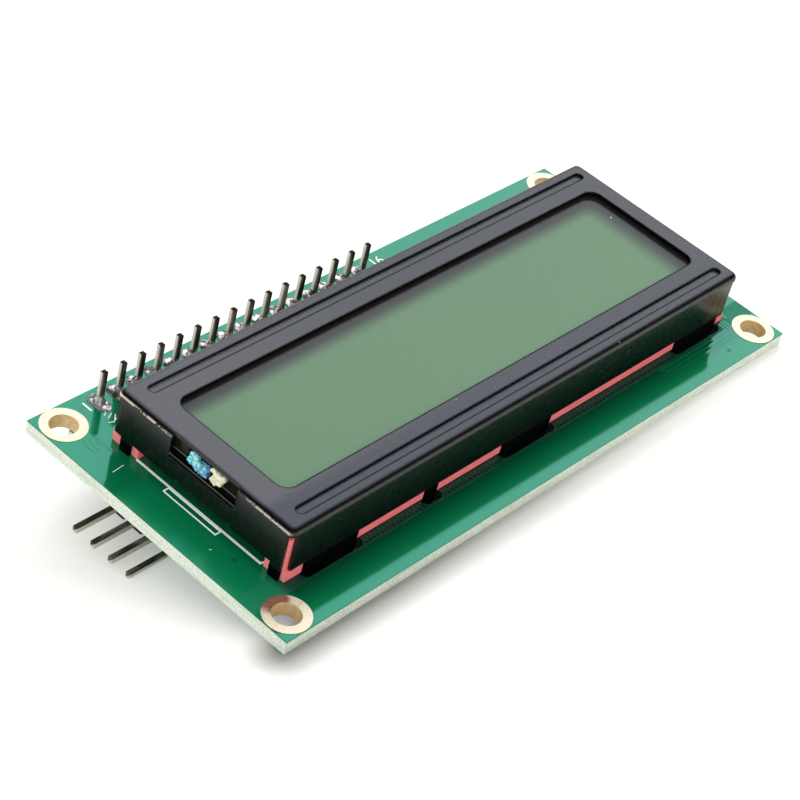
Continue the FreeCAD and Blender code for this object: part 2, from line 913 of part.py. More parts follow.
def perimeter_seal():
    """Adhesive frame between the glasses, open at the filling port."""
    x0 = glass_left + d.seal_inset
    x1 = glass_right - d.seal_inset
    y0 = cell_front + d.seal_inset
    y1 = cell_back - d.seal_inset
    width = d.seal_width
    frame = box(x0, x1, y0, y1, rear_glass_top, glass_underside)
    inside = box(x0 + width, x1 - width, y0 + width, y1 - width, rear_glass_top, glass_underside)
    port_low = plug_y - d.fill_port / 2
    port = box(x0, x0 + width, port_low, port_low + d.fill_port, rear_glass_top, glass_underside)
    return cut("perimeter_seal", frame, [inside, port])


def edge_bead(label, y, width):
    """A cured bead of adhesive on the ends of the two glasses."""
    body = new_body(label)
    profile = new_sketch(body, label + "_profile", "XZ_Plane", level=-(y + width / 2))
    proud = d.plug_proud
    low = glass_top - d.plug_drop
    outline(
        profile,
        [
            (glass_left, low),
            (glass_left - proud * 0.6, low + proud * 0.2),
            (glass_left - proud, low + proud),
            (glass_left - proud, glass_top - proud * 0.6),
            (glass_left - proud * 0.5, glass_top),
            (glass_left, glass_top),
        ],
    )
    bead = pad(body, profile, width)
    ends = round_edges(
        body, bead, lambda e: e.BoundBox.YLength < 0.001 and e.BoundBox.XMin < glass_left.value - 0.01,
        d.plug_proud / 3,
    )
    body.Tip = ends
    return body


def contact_strip(label, outer, inner, outward):
    """Rubber strip standing between the board and the front glass, bulging where the skirt is cut away."""
    y_low, y_high = (outer, inner) if outward < 0 else (inner, outer)
    end_left = inner_left + d.strip_end_gap
    end_right = inner_right - d.strip_end_gap
    parts = [box(end_left, end_right, y_low, y_high, ZERO, glass_underside)]
    feet = [(end_left - d.bulge_gap, ZERO)] + FEET + [(end_right + d.bulge_gap, ZERO)]
    swell = outer + d.strip_bulge * outward
    y_low, y_high = (swell, outer) if outward < 0 else (outer, swell)
    for (x_a, width_a), (x_b, width_b) in zip(feet, feet[1:]):
        start = x_a + width_a / 2 + d.bulge_gap
        stop = x_b - width_b / 2 - d.bulge_gap
        if stop.value > start.value:
            parts.append(box(start, stop, y_low, y_high, ZERO, d.skirt_lift - d.bulge_gap))
    return fuse(label, parts)


def backlight_tray():
    """White reflector tray under the cell, open upwards."""
    tray = box(tray_left, tray_right, tray_front, tray_back, ZERO, diffuser_underside)
    cavity = box(
        cavity_left, cavity_right, cavity_front, cavity_back, d.tray_floor, diffuser_underside
    )
    lead_low = lamp_y - d.lead_pitch / 2 - d.lead_size
    lead_high = lamp_y + d.lead_pitch / 2 + d.lead_size
    slot = box(cavity_right - d.lamp_board_thickness, cavity_right, lead_low, lead_high, ZERO, d.tray_floor)
    return cut("backlight_tray", tray, [cavity, slot])


def light_guide():
    guide = box(
        cavity_left,
        cavity_right - d.lamp_bay,
        cavity_front,
        cavity_back,
        d.tray_floor,
        diffuser_underside,
    )
    guide.Label = "light_guide"
    return guide


def diffuser_film():
    film = box(tray_left, tray_right, tray_front, tray_back, diffuser_underside, rear_film_underside)
    film.Label = "diffuser_film"
    return film


def backlight_board():
    low = cavity_right - d.lamp_board_thickness
    board = box(low, cavity_right, cavity_front, cavity_back, d.tray_floor, diffuser_underside)
    board.Label = "backlight_board"
    return board


def backlight_lamps():
    """Light-emitting chips on the lamp board, facing into the light guide."""
    body = new_body("backlight_lamps")
    face = rectangle_at(new_sketch(body, "lamp_face", "YZ_Plane"), ZERO, ZERO, d.lamp_width, d.lamp_height)
    block = pad(body, face, d.lamp_depth, downward=True)
    repeat(body, [block], "Y_Axis", lamp_pitch, d.lamp_count)
    first_y = lamp_y - lamp_pitch * (d.lamp_count - 1) / 2
    return place(body, cavity_right - d.lamp_board_thickness, first_y, lamp_z)


def backlight_leads():
    """Two leads from the lamp board down through the display board."""
    size = d.lead_size
    bottom = board_bottom - d.lead_tail
    leads = [box_at(x, y, size, size, bottom, d.tray_floor) for x, y in BACKLIGHT_LEADS]
    return group("backlight_leads", leads)


# parts under the display board


def driver_blob(label, x):
    """A low dome of black resin over a driver chip."""
    body = new_body(label)
    radius = d.blob_radius.value
    rise = d.blob_height.value
    sphere = (radius * radius + rise * rise) / (2 * rise)
    profile = new_sketch(body, label + "_profile", "XZ_Plane")
    spread = math.asin(radius / sphere)
    centre = FreeCAD.Vector(0, sphere - rise, 0)
    dome = Part.ArcOfCircle(
        Part.Circle(centre, FreeCAD.Vector(0, 0, 1), sphere), -math.pi / 2, -math.pi / 2 + spread
    )
    arc = profile.addGeometry(dome)
    flat = profile.addGeometry(Part.LineSegment(FreeCAD.Vector(radius, 0, 0), FreeCAD.Vector(0, 0, 0)))
    axis = profile.addGeometry(Part.LineSegment(FreeCAD.Vector(0, 0, 0), FreeCAD.Vector(0, -rise, 0)))
    profile.addConstraint(Sketcher.Constraint("Coincident", arc, 2, flat, 1))
    profile.addConstraint(Sketcher.Constraint("Coincident", flat, 2, axis, 1))
    profile.addConstraint(Sketcher.Constraint("Coincident", axis, 2, arc, 1))
    profile.addConstraint(Sketcher.Constraint("PointOnObject", arc, 3, -2))
    pin_point(profile, flat, 1, d.blob_radius, ZERO)
    pin_point(profile, axis, 1, ZERO, ZERO)
    pin_point(profile, axis, 2, ZERO, -d.blob_height)
    body.Tip = revolve(body, profile)
    return place(body, x, d.blob_y, board_bottom)


def chip_row(label, x, y, top, role, count, pitch):
    """A row of small rectangular chips with bevelled edges, hanging from a board."""
    body = new_body(label)
    outline_sketch = rectangle_at(
        new_sketch(body, label + "_outline"), ZERO, ZERO, d.chip_length, d.chip_width
    )
    chip = pad(body, outline_sketch, d.chip_height, downward=True)
    edges = round_edges(body, chip, lambda e: lies_at(e, -d.chip_height), d.chip_height / 6)
    repeat(body, [chip, edges], role, pitch, count)
    return place(body, x, y, top)


# the adapter board and its parts


def adapter_board():
    body = new_body("adapter_board")
    plate = rectangle(
        new_sketch(body, "adapter_outline", level=adapter_top),
        adapter_left,
        adapter_right,
        adapter_front,
        adapter_back,
    )
    pad(body, plate, d.adapter_thickness, downward=True)
    hole = new_sketch(body, "adapter_header_hole", level=adapter_top)
    header_hole = pocket(
        body, circle(hole, first_pin_x, header_row_y, d.pin_hole / 2), d.adapter_thickness
    )
    repeat(body, [header_hole], "X_Axis", d.pin_pitch, d.pin_count)
    side = new_sketch(body, "side_holes", level=adapter_top)
    side_hole = pocket(
        body, circle(side, side_solder_x, side_first_y, d.pin_hole / 2), d.adapter_thickness
    )
    repeat(body, [side_hole], "Y_Axis", d.pin_pitch, d.side_pin_count)
    link = new_sketch(body, "jumper_holes", level=adapter_top)
    link_hole = pocket(
        body, circle(link, jumper_solder_x, jumper_first_y, d.pin_hole / 2), d.adapter_thickness
    )
    repeat(body, [link_hole], "Y_Axis", d.pin_pitch, d.jumper_pin_count)
    trimmer = new_sketch(body, "trimmer_holes", level=adapter_top)
    for x, y in TRIMMER_PINS:
        circle(trimmer, x, y, d.pin_hole / 2)
    body.Tip = pocket(body, trimmer, d.adapter_thickness)
    return body


def angled_pins(label, tip_x, solder_x, first_y, count, inward):
    """Square pins that leave a housing level with the board, bend and pass up through it."""
    body = new_body(label)
    half = d.pin_width / 2
    top = adapter_top + d.side_pin_rise
    path = new_sketch(body, label + "_profile", "XZ_Plane", level=-half)
    near = solder_x - half * inward
    far = solder_x + half * inward
    outline(
        path,
        [
            (tip_x, side_pin_z - half),
            (far, side_pin_z - half),
            (far, top),
            (near, top),
            (near, side_pin_z + half),
            (tip_x, side_pin_z + half),
        ],
    )
    bar = pad(body, path, d.pin_width)

    def at_bend(edge):
        along = abs(edge.tangentAt(edge.FirstParameter).y) > 0.99
        centre = edge.CenterOfMass
        beside = abs(centre.x - far.value) < 0.001 and abs(centre.z - side_pin_z.value) < half.value * 1.01
        return along and beside

    bend = round_edges(body, bar, at_bend, d.bend_radius)

    def at_tip(edge):
        return edge.BoundBox.XLength < 0.001 and abs(edge.CenterOfMass.x - tip_x.value) < 0.001

    ends = round_edges(body, bend, at_tip, d.pin_point, "Chamfer")
    repeat(body, [bar, bend, ends], "Y_Axis", d.pin_pitch, count)
    return place(body, 0, first_y, 0)


def pin_housing(label, x_low, first_y, count):
    """Moulded block of a right-angle header, with a square hole for each pin."""
    body = new_body(label)
    half = d.pin_pitch / 2
    notch = d.spacer_notch
    x_high = x_low + d.housing_size
    low_z = adapter_bottom - d.housing_size
    cell = outline(
        new_sketch(body, label + "_cell", "YZ_Plane", level=x_low),
        [
            (-half, low_z + notch),
            (-half + notch, low_z),
            (half - notch, low_z),
            (half, low_z + notch),
            (half, adapter_bottom - notch),
            (half - notch, adapter_bottom),
            (-half + notch, adapter_bottom),
            (-half, adapter_bottom - notch),
        ],
    )
    cell_pad = pad(body, cell, d.housing_size)
    hole = rectangle_at(
        new_sketch(body, label + "_hole", "YZ_Plane", level=x_high),
        ZERO,
        side_pin_z,
        d.pin_width,
        d.pin_width,
    )
    hole_cut = pocket(body, hole, d.housing_size)
    repeat(body, [cell_pad, hole_cut], "Y_Axis", d.pin_pitch, count)
    return place(body, 0, first_y, 0)


def expander_chip():
    """Moulded chip body with drafted sides and a dimple by its first lead."""
    body = new_body("expander_chip")
    half_x = d.soic_length / 2
    half_y = d.soic_width / 2
    base_z = adapter_bottom - d.soic_standoff
    low_z = base_z - d.soic_height
    middle = (base_z + low_z) / 2
    profile = outline(
        new_sketch(body, "chip_profile", "XZ_Plane", level=-half_y),
        [
            (-half_x + d.soic_draft, low_z),
            (half_x - d.soic_draft, low_z),
            (half_x, middle),
            (half_x - d.soic_draft, base_z),
            (-half_x + d.soic_draft, base_z),
            (-half_x, middle),
        ],
    )
    pad(body, profile, d.soic_width)
    dimple = circle(
        new_sketch(body, "chip_dimple", level=low_z),
        -half_x + d.dimple_radius * 3,
        half_y - d.dimple_radius * 3,
        d.dimple_radius,
    )
    body.Tip = pocket(body, dimple, d.dimple_depth, reverse=True)
    return place(body, soic_x, soic_y, 0)


def expander_leads():
    """Two rows of gull-wing leads."""
    body = new_body("expander_leads")
    half_y = d.soic_width / 2
    middle = adapter_bottom - d.soic_standoff - d.soic_height / 2
    knee = half_y + d.lead_reach - d.lead_foot
    tip = half_y + d.lead_reach
    first_x = -d.soic_pitch * (d.soic_lead_count - 1) / 2
    wing = outline(
        new_sketch(body, "lead_profile", "YZ_Plane", level=first_x - d.lead_width / 2),
        [
            (half_y, middle - d.lead_thickness / 2),
            (knee, middle - d.lead_thickness / 2),
            (knee + d.lead_thickness, adapter_bottom - d.lead_thickness),
            (tip, adapter_bottom - d.lead_thickness),
            (tip, adapter_bottom),
            (knee, adapter_bottom),
            (knee - d.lead_thickness, middle + d.lead_thickness / 2),
            (half_y, middle + d.lead_thickness / 2),
        ],
    )
    lead = pad(body, wing, d.lead_width)
    steps = [
        pattern_step(body, "X_Axis", d.soic_pitch, d.soic_lead_count),
        mirror_step(body, "XZ_Plane"),
    ]
    repeat_both_ways(body, [lead], steps)
    return place(body, soic_x, soic_y, 0)


def trimmer_body():
    """Square trimmer housing on four small feet, with a round seat for the rotor."""
    body = new_body("trimmer_body")
    low = adapter_bottom - d.trimmer_height
    top = adapter_bottom - d.trimmer_foot
    shell = rectangle_at(
        new_sketch(body, "trimmer_outline", level=low), ZERO, ZERO, d.trimmer_size, d.trimmer_size
    )
    block = pad(body, shell, top - low)
    round_edges(body, block, is_upright, d.trimmer_foot, "Chamfer")
    feet = new_sketch(body, "trimmer_feet", level=top)
    foot = d.trimmer_size / 5
    reach = d.trimmer_size / 2 - foot / 2 - d.trimmer_foot
    for side_x in (-1, 1):
        for side_y in (-1, 1):
            rectangle_at(feet, reach * side_x, reach * side_y, foot, foot)
    pad(body, feet, d.trimmer_foot)
    seat = circle(
        new_sketch(body, "rotor_seat", level=low), ZERO, ZERO, d.rotor_radius + d.rotor_clearance
    )
    body.Tip = pocket(
        body, seat, d.rotor_depth + d.rotor_recess + d.rotor_clearance, reverse=True
    )
    return place(body, trimmer_x, trimmer_y, 0)


def trimmer_rotor():
    """Round rotor with a driver slot across its face."""
    body = new_body("trimmer_rotor")
    low = adapter_bottom - d.trimmer_height + d.rotor_recess
    disc = circle(new_sketch(body, "rotor_outline", level=low), ZERO, ZERO, d.rotor_radius)
    pad(body, disc, d.rotor_depth)
    slot = rectangle_at(
        new_sketch(body, "driver_slot", level=low),
        ZERO,
        ZERO,
        d.rotor_radius * 1.7,
        d.driver_slot_width,
    )
    body.Tip = pocket(body, slot, d.driver_slot_depth, reverse=True)
    return place(body, trimmer_x, trimmer_y, 0)


def trimmer_pins():
    bottom = adapter_bottom - d.trimmer_foot
    top = adapter_top + d.side_pin_rise
    size = d.trimmer_pin_size
    return group("trimmer_pins", [box_at(x, y, size, size, bottom, top) for x, y in TRIMMER_PINS])


def jumper_cap():
    """Moulded cap with two square sockets, opened inside for its metal clip."""
    body = new_body("jumper_cap")
    x0 = jumper_housing_right + d.cap_gap
    half_y = d.pin_pitch * d.jumper_pin_count / 2 - d.cap_gap
    half_z = d.housing_size / 2 - d.cap_gap
    face = rectangle(new_sketch(body, "cap_face", "YZ_Plane", level=x0), -half_y, half_y, -half_z, half_z)
    block = pad(body, face, d.cap_length)
    round_edges(body, block, lambda e: e.BoundBox.XLength > 1, d.cap_wall / 3)
    room = rectangle(
        new_sketch(body, "cap_room", "YZ_Plane", level=x0),
        -half_y + d.cap_wall,
        half_y - d.cap_wall,
        -half_z + d.cap_wall,
        half_z - d.cap_wall,
    )
    body.Tip = pocket(body, room, d.cap_length - d.cap_wall / 2, reverse=True)
    return place(body, 0, jumper_y, side_pin_z)


def jumper_clip():
    """Sheet-metal contact inside the cap, with a square passage for each pin."""
    half_y = d.pin_pitch * d.jumper_pin_count / 2 - d.cap_gap - d.cap_wall
    half_z = d.housing_size / 2 - d.cap_gap - d.cap_wall
    x0 = jumper_housing_right + d.cap_gap + d.cap_wall
    body = box(x0, x0 + d.clip_length, -half_y, half_y, -half_z, half_z)
    passage = d.pin_width / 2 + d.clip_clearance
    passages = []
    for side in (-1, 1):
        y = d.pin_pitch / 2 * side
        passages.append(box(x0, x0 + d.clip_length, y - passage, y + passage, -passage, passage))
    clip = cut("jumper_clip", body, passages)
    return place(clip, 0, jumper_y, side_pin_z)


def power_indicator():
    lamp = box_at(
        adapter_right - d.indicator_end_inset,
        adapter_front + d.indicator_front_inset,
        d.chip_length,
        d.chip_width,
        adapter_bottom - d.chip_height,
        adapter_bottom,
    )
    lamp.Label = "power_indicator"
    return lamp


def transistor():
    """Three-legged switching transistor beside the jumper."""
    x = adapter_right - d.transistor_end_inset
    y = adapter_front + d.transistor_front_inset
    base = adapter_bottom - d.soic_standoff
    length = d.transistor_length
    width = d.transistor_width
    block = box_at(x, y, length, width, base - d.transistor_height, base)
    legs = []
    for step, side in ((-1, -1), (1, -1), (0, 1)):
        leg_x = x + length / 3 * step
        leg_y = y + (width / 2 + d.transistor_lead) * side
        leg_length = d.transistor_lead * 2
        leg_low = base - d.transistor_lead
        legs.append(box_at(leg_x, leg_y, d.transistor_lead, leg_length, leg_low, adapter_bottom))
    return fuse("transistor", [block] + legs)


def address_links():
    """Pairs of bare copper lands that set the adapter's address."""
    lands = []
    for i in range(int(SIZES["link_count"])):
        x = adapter_right - d.link_end_inset + d.link_pitch * i
        for side in (-1, 1):
            y = adapter_front + d.link_front_inset + (d.link_pad + d.link_gap) / 2 * side
            low = adapter_bottom - d.copper_height
            lands.append(box_at(x, y, d.link_pad, d.link_pad, low, adapter_bottom))
    return group("address_links", lands)


def build_pieces():
    """Makes every piece and returns them in order."""
    row = (first_pin_x, header_row_y)
    side_row = (side_solder_x, side_first_y)
    jumper_row = (jumper_solder_x, jumper_first_y)
    side_tip = side_housing_left - d.side_reach
    jumper_tip = jumper_housing_right + d.cap_gap + d.cap_length - d.cap_wall
    return [
        main_board(),
        mounting_hole_plating(),
        bezel(),
        front_polariser(),
        front_glass(),
        perimeter_seal(),
        rear_glass(),
        rear_polariser(),
        edge_bead("fill_port_plug", plug_y, d.plug_width),
        edge_bead("seal_bead", bead_y, d.bead_width),
        contact_strip("front_contact_strip", inner_front, strip_front_inner, -1),
        contact_strip("back_contact_strip", inner_back, strip_back_inner, 1),
        diffuser_film(),
        light_guide(),
        backlight_tray(),
        backlight_board(),
        backlight_lamps(),
        backlight_leads(),
        solder_joints("backlight_solder", BACKLIGHT_LEADS, board_bottom, False, d.lead_size),
        driver_blob("driver_blob_left", d.blob_left_x),
        driver_blob("driver_blob_right", d.blob_right_x),
        chip_row(
            "display_resistors",
            board_right - d.display_chip_inset,
            board_back - d.display_chip_back_inset,
            board_bottom,
            "Y_Axis",
            d.display_resistor_count,
            d.chip_pitch / 2,
        ),
        chip_row(
            "display_capacitors",
            board_right - d.display_chip_inset - d.chip_pitch,
            d.display_capacitor_inset - board_back,
            board_bottom,
            "X_Axis",
            d.display_capacitor_count,
            d.chip_pitch,
        ),
        header_pins(),
        header_spacer(),
        solder_row("display_solder", row, ZERO, True, d.pin_count, "X_Axis", d.header_pin_width),
        adapter_board(),
        solder_row(
            "adapter_solder",
            row,
            adapter_bottom,
            False,
            d.pin_count,
            "X_Axis",
            d.header_pin_width,
        ),
        pin_housing("side_header_housing", side_housing_left, side_first_y, d.side_pin_count),
        angled_pins("side_header_pins", side_tip, side_solder_x, side_first_y, d.side_pin_count, 1),
        solder_row(
            "side_header_solder",
            side_row,
            adapter_top,
            True,
            d.side_pin_count,
            "Y_Axis",
            d.pin_width,
        ),
        expander_chip(),
        expander_leads(),
        trimmer_body(),
        trimmer_rotor(),
        trimmer_pins(),
        pin_housing(
            "jumper_housing",
            jumper_housing_right - d.housing_size,
            jumper_first_y,
            d.jumper_pin_count,
        ),
        angled_pins(
            "jumper_pins", jumper_tip, jumper_solder_x, jumper_first_y, d.jumper_pin_count, -1
        ),
        solder_row(
            "jumper_solder",
            jumper_row,
            adapter_top,
            True,
            d.jumper_pin_count,
            "Y_Axis",
            d.pin_width,
        ),
        solder_joints("trimmer_solder", TRIMMER_PINS, adapter_top, True, d.trimmer_pin_size),
        jumper_cap(),
        jumper_clip(),
        power_indicator(),
        chip_row(
            "adapter_resistors",
            adapter_left + d.resistor_end_inset,
            adapter_front + d.resistor_front_inset,
            adapter_bottom,
            "X_Axis",
            d.resistor_count,
            d.chip_pitch,
        ),
        chip_row(
            "adapter_capacitors",
            adapter_left + d.capacitor_end_inset,
            adapter_back - d.capacitor_back_inset,
            adapter_bottom,
            "Y_Axis",
            d.capacitor_count,
            d.chip_pitch / 2,
        ),
        transistor(),
        address_links(),
    ]


def check_pieces(pieces):
    """Stops the build if anything in the document failed or a piece isn't a sound solid."""
    for item in doc.Objects:
        if "Invalid" in item.State or "Error" in item.State:
            raise RuntimeError(f"{item.Label} failed: {item.State}")
    for piece in pieces:
        shape = piece.Shape
        if shape.isNull() or not shape.isValid() or not shape.Solids:
            raise RuntimeError(f"{piece.Label} has no sound solid")


def main():
    fill_sheet()
    pieces = build_pieces()
    doc.recompute()
    check_pieces(pieces)
    os.makedirs("parts", exist_ok=True)
    for piece in pieces:
        piece.Shape.exportStep(f"parts/{piece.Label}.step")
        limits = piece.Shape.BoundBox
        print(piece.Label, len(piece.Shape.Solids), round(piece.Shape.Volume, 3), limits)


main()
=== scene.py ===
import math

import bmesh
import bpy
from bpy.props import FloatProperty, FloatVectorProperty, IntProperty, PointerProperty
from mathutils import Matrix, Vector


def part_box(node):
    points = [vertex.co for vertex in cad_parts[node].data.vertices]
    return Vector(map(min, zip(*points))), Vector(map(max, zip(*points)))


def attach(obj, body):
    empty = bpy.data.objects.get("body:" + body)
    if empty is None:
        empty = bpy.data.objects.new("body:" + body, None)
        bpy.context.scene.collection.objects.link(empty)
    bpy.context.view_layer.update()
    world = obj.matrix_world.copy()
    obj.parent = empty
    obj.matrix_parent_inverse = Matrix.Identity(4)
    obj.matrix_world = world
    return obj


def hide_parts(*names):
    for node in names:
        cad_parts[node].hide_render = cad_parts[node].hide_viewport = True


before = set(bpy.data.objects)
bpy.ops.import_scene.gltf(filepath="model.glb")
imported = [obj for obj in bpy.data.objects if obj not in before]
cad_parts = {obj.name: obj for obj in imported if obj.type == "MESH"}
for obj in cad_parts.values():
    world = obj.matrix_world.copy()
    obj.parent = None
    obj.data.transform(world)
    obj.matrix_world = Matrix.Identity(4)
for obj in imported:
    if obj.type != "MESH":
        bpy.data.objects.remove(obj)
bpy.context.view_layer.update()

bl_info = {
    "name": "Character display module",
    "version": (1, 0, 0),
    "blender": (4, 5, 0),
    "location": "View3D > Sidebar > Display module",
    "description": "Builds the finishes and fine pieces of a two-line character display module",
    "category": "Object",
}

MM = 0.001

# the long header's row and the line that the bezel's back leaves free, in millimetres
PIN_COUNT = 16
PIN_PITCH = 2.54
FIRST_PIN = -32.45
BEHIND_BEZEL = 12.75

LAND_HEIGHT = 0.06 * MM

# how light is turned and tinted by the clear top of a solder mask
MASK_IOR = 1.9
MASK_TINT = (0.20, 1.0, 0.86)


# sizes, colours and light that a user would change


def length_choice(name, description, millimetres):
    return FloatProperty(name=name, description=description, default=millimetres * MM, unit="LENGTH")


def colour_choice(name, description, default):
    return FloatVectorProperty(
        name=name, description=description, default=default, size=3, min=0.0, max=1.0, subtype="COLOR"
    )


class ModuleSizes(bpy.types.PropertyGroup):
    """Sizes of the fine pieces on the two boards."""

    print_width: length_choice("Printed line", "Width of a white printed line", 0.17)
    print_height: length_choice("Ink height", "How far the print stands off the board", 0.02)
    track_width: length_choice("Track width", "Width of a copper track", 0.3)
    track_height: length_choice("Track height", "Height of a covered copper track", 0.018)
    via_radius: length_choice("Via radius", "Radius of a small plated hole's ring", 0.32)
    joint_radius: length_choice("Joint radius", "Radius of a solder joint at its foot", 0.74)
    joint_height: length_choice("Joint height", "Height of a solder joint along its pin", 1.2)
    lump_size: length_choice("Solder lumps", "How uneven the solder is", 0.16)
    header_pins: IntProperty(
        name="Header pins", description="Pins in the long header", default=PIN_COUNT, min=1
    )
    pin_pitch: length_choice("Pin pitch", "Distance between neighbouring pins", PIN_PITCH)


class ModuleColours(bpy.types.PropertyGroup):
    """Colours of the finishes."""

    mask: colour_choice("Solder mask", "Green of the display board", (0.0018, 0.165, 0.060))
    mask_light: colour_choice("Covered copper", "Green where copper lies under it", (0.003, 0.125, 0.046))
    fibreglass: colour_choice("Board edge", "Sawn fibreglass edge", (0.93, 0.95, 0.82))
    adapter_mask: colour_choice("Adapter mask", "Coating of the adapter board", (0.006, 0.007, 0.009))
    paint: colour_choice("Bezel coating", "Black coating of the bezel", (0.010, 0.009, 0.011))
    bare_steel: colour_choice("Worn steel", "Steel where the coating has gone", (0.78, 0.72, 0.62))
    display: colour_choice("Display", "Field behind the glass", (0.122, 0.250, 0.142))
    rubber: colour_choice("Contact strip", "Pink silicone of the contact strips", (0.95, 0.24, 0.25))
    plug: colour_choice("Port plug", "Blue resin of the fill port", (0.10, 0.52, 0.66))
    bead: colour_choice("Port bead", "Cream resin beside the fill port", (0.97, 0.96, 0.70))
    gold: colour_choice("Plated rings", "Plating of the mounting holes", (0.80, 0.66, 0.44))
    tin: colour_choice("Tinned pins", "Plating of the pins", (0.66, 0.62, 0.54))
    trimmer: colour_choice("Trimmer body", "Blue of the trimmer", (0.01, 0.07, 0.42))


class ModuleLight(bpy.types.PropertyGroup):
    """Light of the pale studio."""

    room: FloatProperty(name="Room light", description="Level of the room's light", default=1.05, min=0.0)
    overhead: FloatProperty(
        name="Overhead", description="What glossy faces see straight above", default=0.02, min=0.0
    )
    window: FloatProperty(
        name="Window power", description="Power of the large soft window", default=1.6, min=0.0, unit="POWER"
    )


def sizes():
    return bpy.context.scene.display_module_sizes


def colours():
    return bpy.context.scene.display_module_colours


def light():
    return bpy.context.scene.display_module_light


# node trees


class Tree:
    """Builds a node tree from numbers, colours and sockets."""

    def __init__(self, tree):
        self.tree = tree

    def node(self, kind, inputs=None, **settings):
        """The outputs of a new node that has its settings and is fed with its inputs."""
        made = self.tree.nodes.new(kind)
        for name, value in settings.items():
            setattr(made, name, value)
        for name, value in (inputs or {}).items():
            self.feed(made.inputs[name], value)
        return made.outputs

    def feed(self, socket, value):
        if isinstance(value, bpy.types.NodeSocket):
            self.tree.links.new(value, socket)
        elif socket.type == "RGBA" and len(value) == 3:
            socket.default_value = (*value, 1.0)
        else:
            socket.default_value = value

    def math(self, operation, first, second=0.0, clamp=False):
        return self.node("ShaderNodeMath", {0: first, 1: second}, operation=operation, use_clamp=clamp)[0]

    def chained(self, operation, values):
        made = values[0]
        for value in values[1:]:
            made = self.math(operation, made, value)
        return made

    def times(self, *values):
        return self.chained("MULTIPLY", values)

    def plus(self, *values):
        return self.chained("ADD", values)

    def most(self, *values):
        return self.chained("MAXIMUM", values)

    def minus(self, first, second, clamp=False):
        return self.math("SUBTRACT", first, second, clamp)

    def absolute(self, value):
        return self.math("ABSOLUTE", value)

    def above(self, value, limit):
        return self.math("GREATER_THAN", value, limit)

    def below(self, value, limit):
        return self.math("LESS_THAN", value, limit)

    def reach(self, x, y):
        """The length of a flat arrow with these two parts."""
        return self.math("SQRT", self.plus(self.times(x, x), self.times(y, y)))

    def span(self, value, low, high, start=0.0, end=1.0, smooth=True):
        """A value between start and end as the input goes from low to high."""
        numbers = {"Value": value, "From Min": low, "From Max": high, "To Min": start, "To Max": end}
        kind = "SMOOTHSTEP" if smooth else "LINEAR"
        return self.node("ShaderNodeMapRange", numbers, interpolation_type=kind)["Result"]

    def fall(self, value, low, high):
        """1 below low, 0 above high and softly between."""
        return self.span(value, low, high, 1.0, 0.0)

    def between(self, value, start, end):
        """A value between start and end as the input goes from 0 to 1."""
        return self.span(value, 0.0, 1.0, start, end)

    def blend(self, factor, first, second):
        return self.node("ShaderNodeMix", {0: factor, 6: first, 7: second}, data_type="RGBA")[2]

    def place(self):
        return self.node("ShaderNodeTexCoord")["Object"]

    def facing(self):
        return self.node("ShaderNodeTexCoord")["Normal"]

    def axes(self, vector):
        return self.node("ShaderNodeSeparateXYZ", {0: vector})

    def mapped(self, scale):
        return self.node("ShaderNodeMapping", {"Vector": self.place(), "Scale": scale})[0]

    def noise(self, scale, detail=2.0, rough=0.5, vector=None):
        numbers = {"Vector": vector or self.place(), "Scale": scale, "Detail": detail, "Roughness": rough}
        return self.node("ShaderNodeTexNoise", numbers)["Fac"]

    def cells(self, scale):
        return self.node("ShaderNodeTexVoronoi", {"Vector": self.place(), "Scale": scale})["Distance"]

    def within(self, value, low, high, edge):
        """1 while a value lies between low and high, with soft ends."""
        up = self.span(value, low - edge, low + edge)
        down = self.fall(value, high - edge, high + edge)
        return self.times(up, down)

    def near(self, x, y, radius, edge):
        """1 inside an upright cylinder round a point, with a soft edge."""
        p = self.axes(self.place())
        away = self.reach(self.minus(p[0], x), self.minus(p[1], y))
        return self.fall(away, radius - edge, radius + edge)


class Finish(Tree):
    """A material with one Principled shader."""

    def __init__(self, name):
        self.material = bpy.data.materials.new(name)
        self.material.use_nodes = True
        super().__init__(self.material.node_tree)
        self.shader = self.tree.nodes["Principled BSDF"]

    def set(self, **values):
        for name, value in values.items():
            self.feed(self.shader.inputs[name.replace("_", " ")], value)

    def bump(self, strength, depth, normal=None):
        """Lets the grain's height stand out of the face."""
        inputs = {"Strength": strength, "Distance": depth, "Height": self.height}
        if normal is not None:
            inputs["Normal"] = normal
        self.set(Normal=self.node("ShaderNodeBump", inputs)[0])

    def soft_edges(self, radius):
        """A normal that rounds the sharp edges of a moulded or stamped piece."""
        return self.node("ShaderNodeBevel", {"Radius": radius}, samples=4)[0]

    def grain(self, scale, low=0.0, high=1.0):
        """The level of a fine grain, whose height the bump will follow."""
        numbers = {"Scale": scale, "Low": low, "High": high}
        made = self.node("ShaderNodeGroup", numbers, node_tree=grain_group())
        self.height = made["Height"]
        return made["Level"]

    def specks(self, scale, size, share):
        numbers = {"Scale": scale, "Size": size, "Share": share}
        return self.node("ShaderNodeGroup", numbers, node_tree=speck_group())["Mask"]


def new_group(name, inputs, outputs):
    """A node group with plain number sockets, its Tree and its two end nodes."""
    tree = bpy.data.node_groups.new(name, "ShaderNodeTree")
    for label, default in inputs.items():
        socket = tree.interface.new_socket(name=label, in_out="INPUT", socket_type="NodeSocketFloat")
        socket.default_value = default
    for label in outputs:
        tree.interface.new_socket(name=label, in_out="OUTPUT", socket_type="NodeSocketFloat")
    made = Tree(tree)
    given = made.node("NodeGroupInput")
    return made, given, tree.nodes.new("NodeGroupOutput").inputs


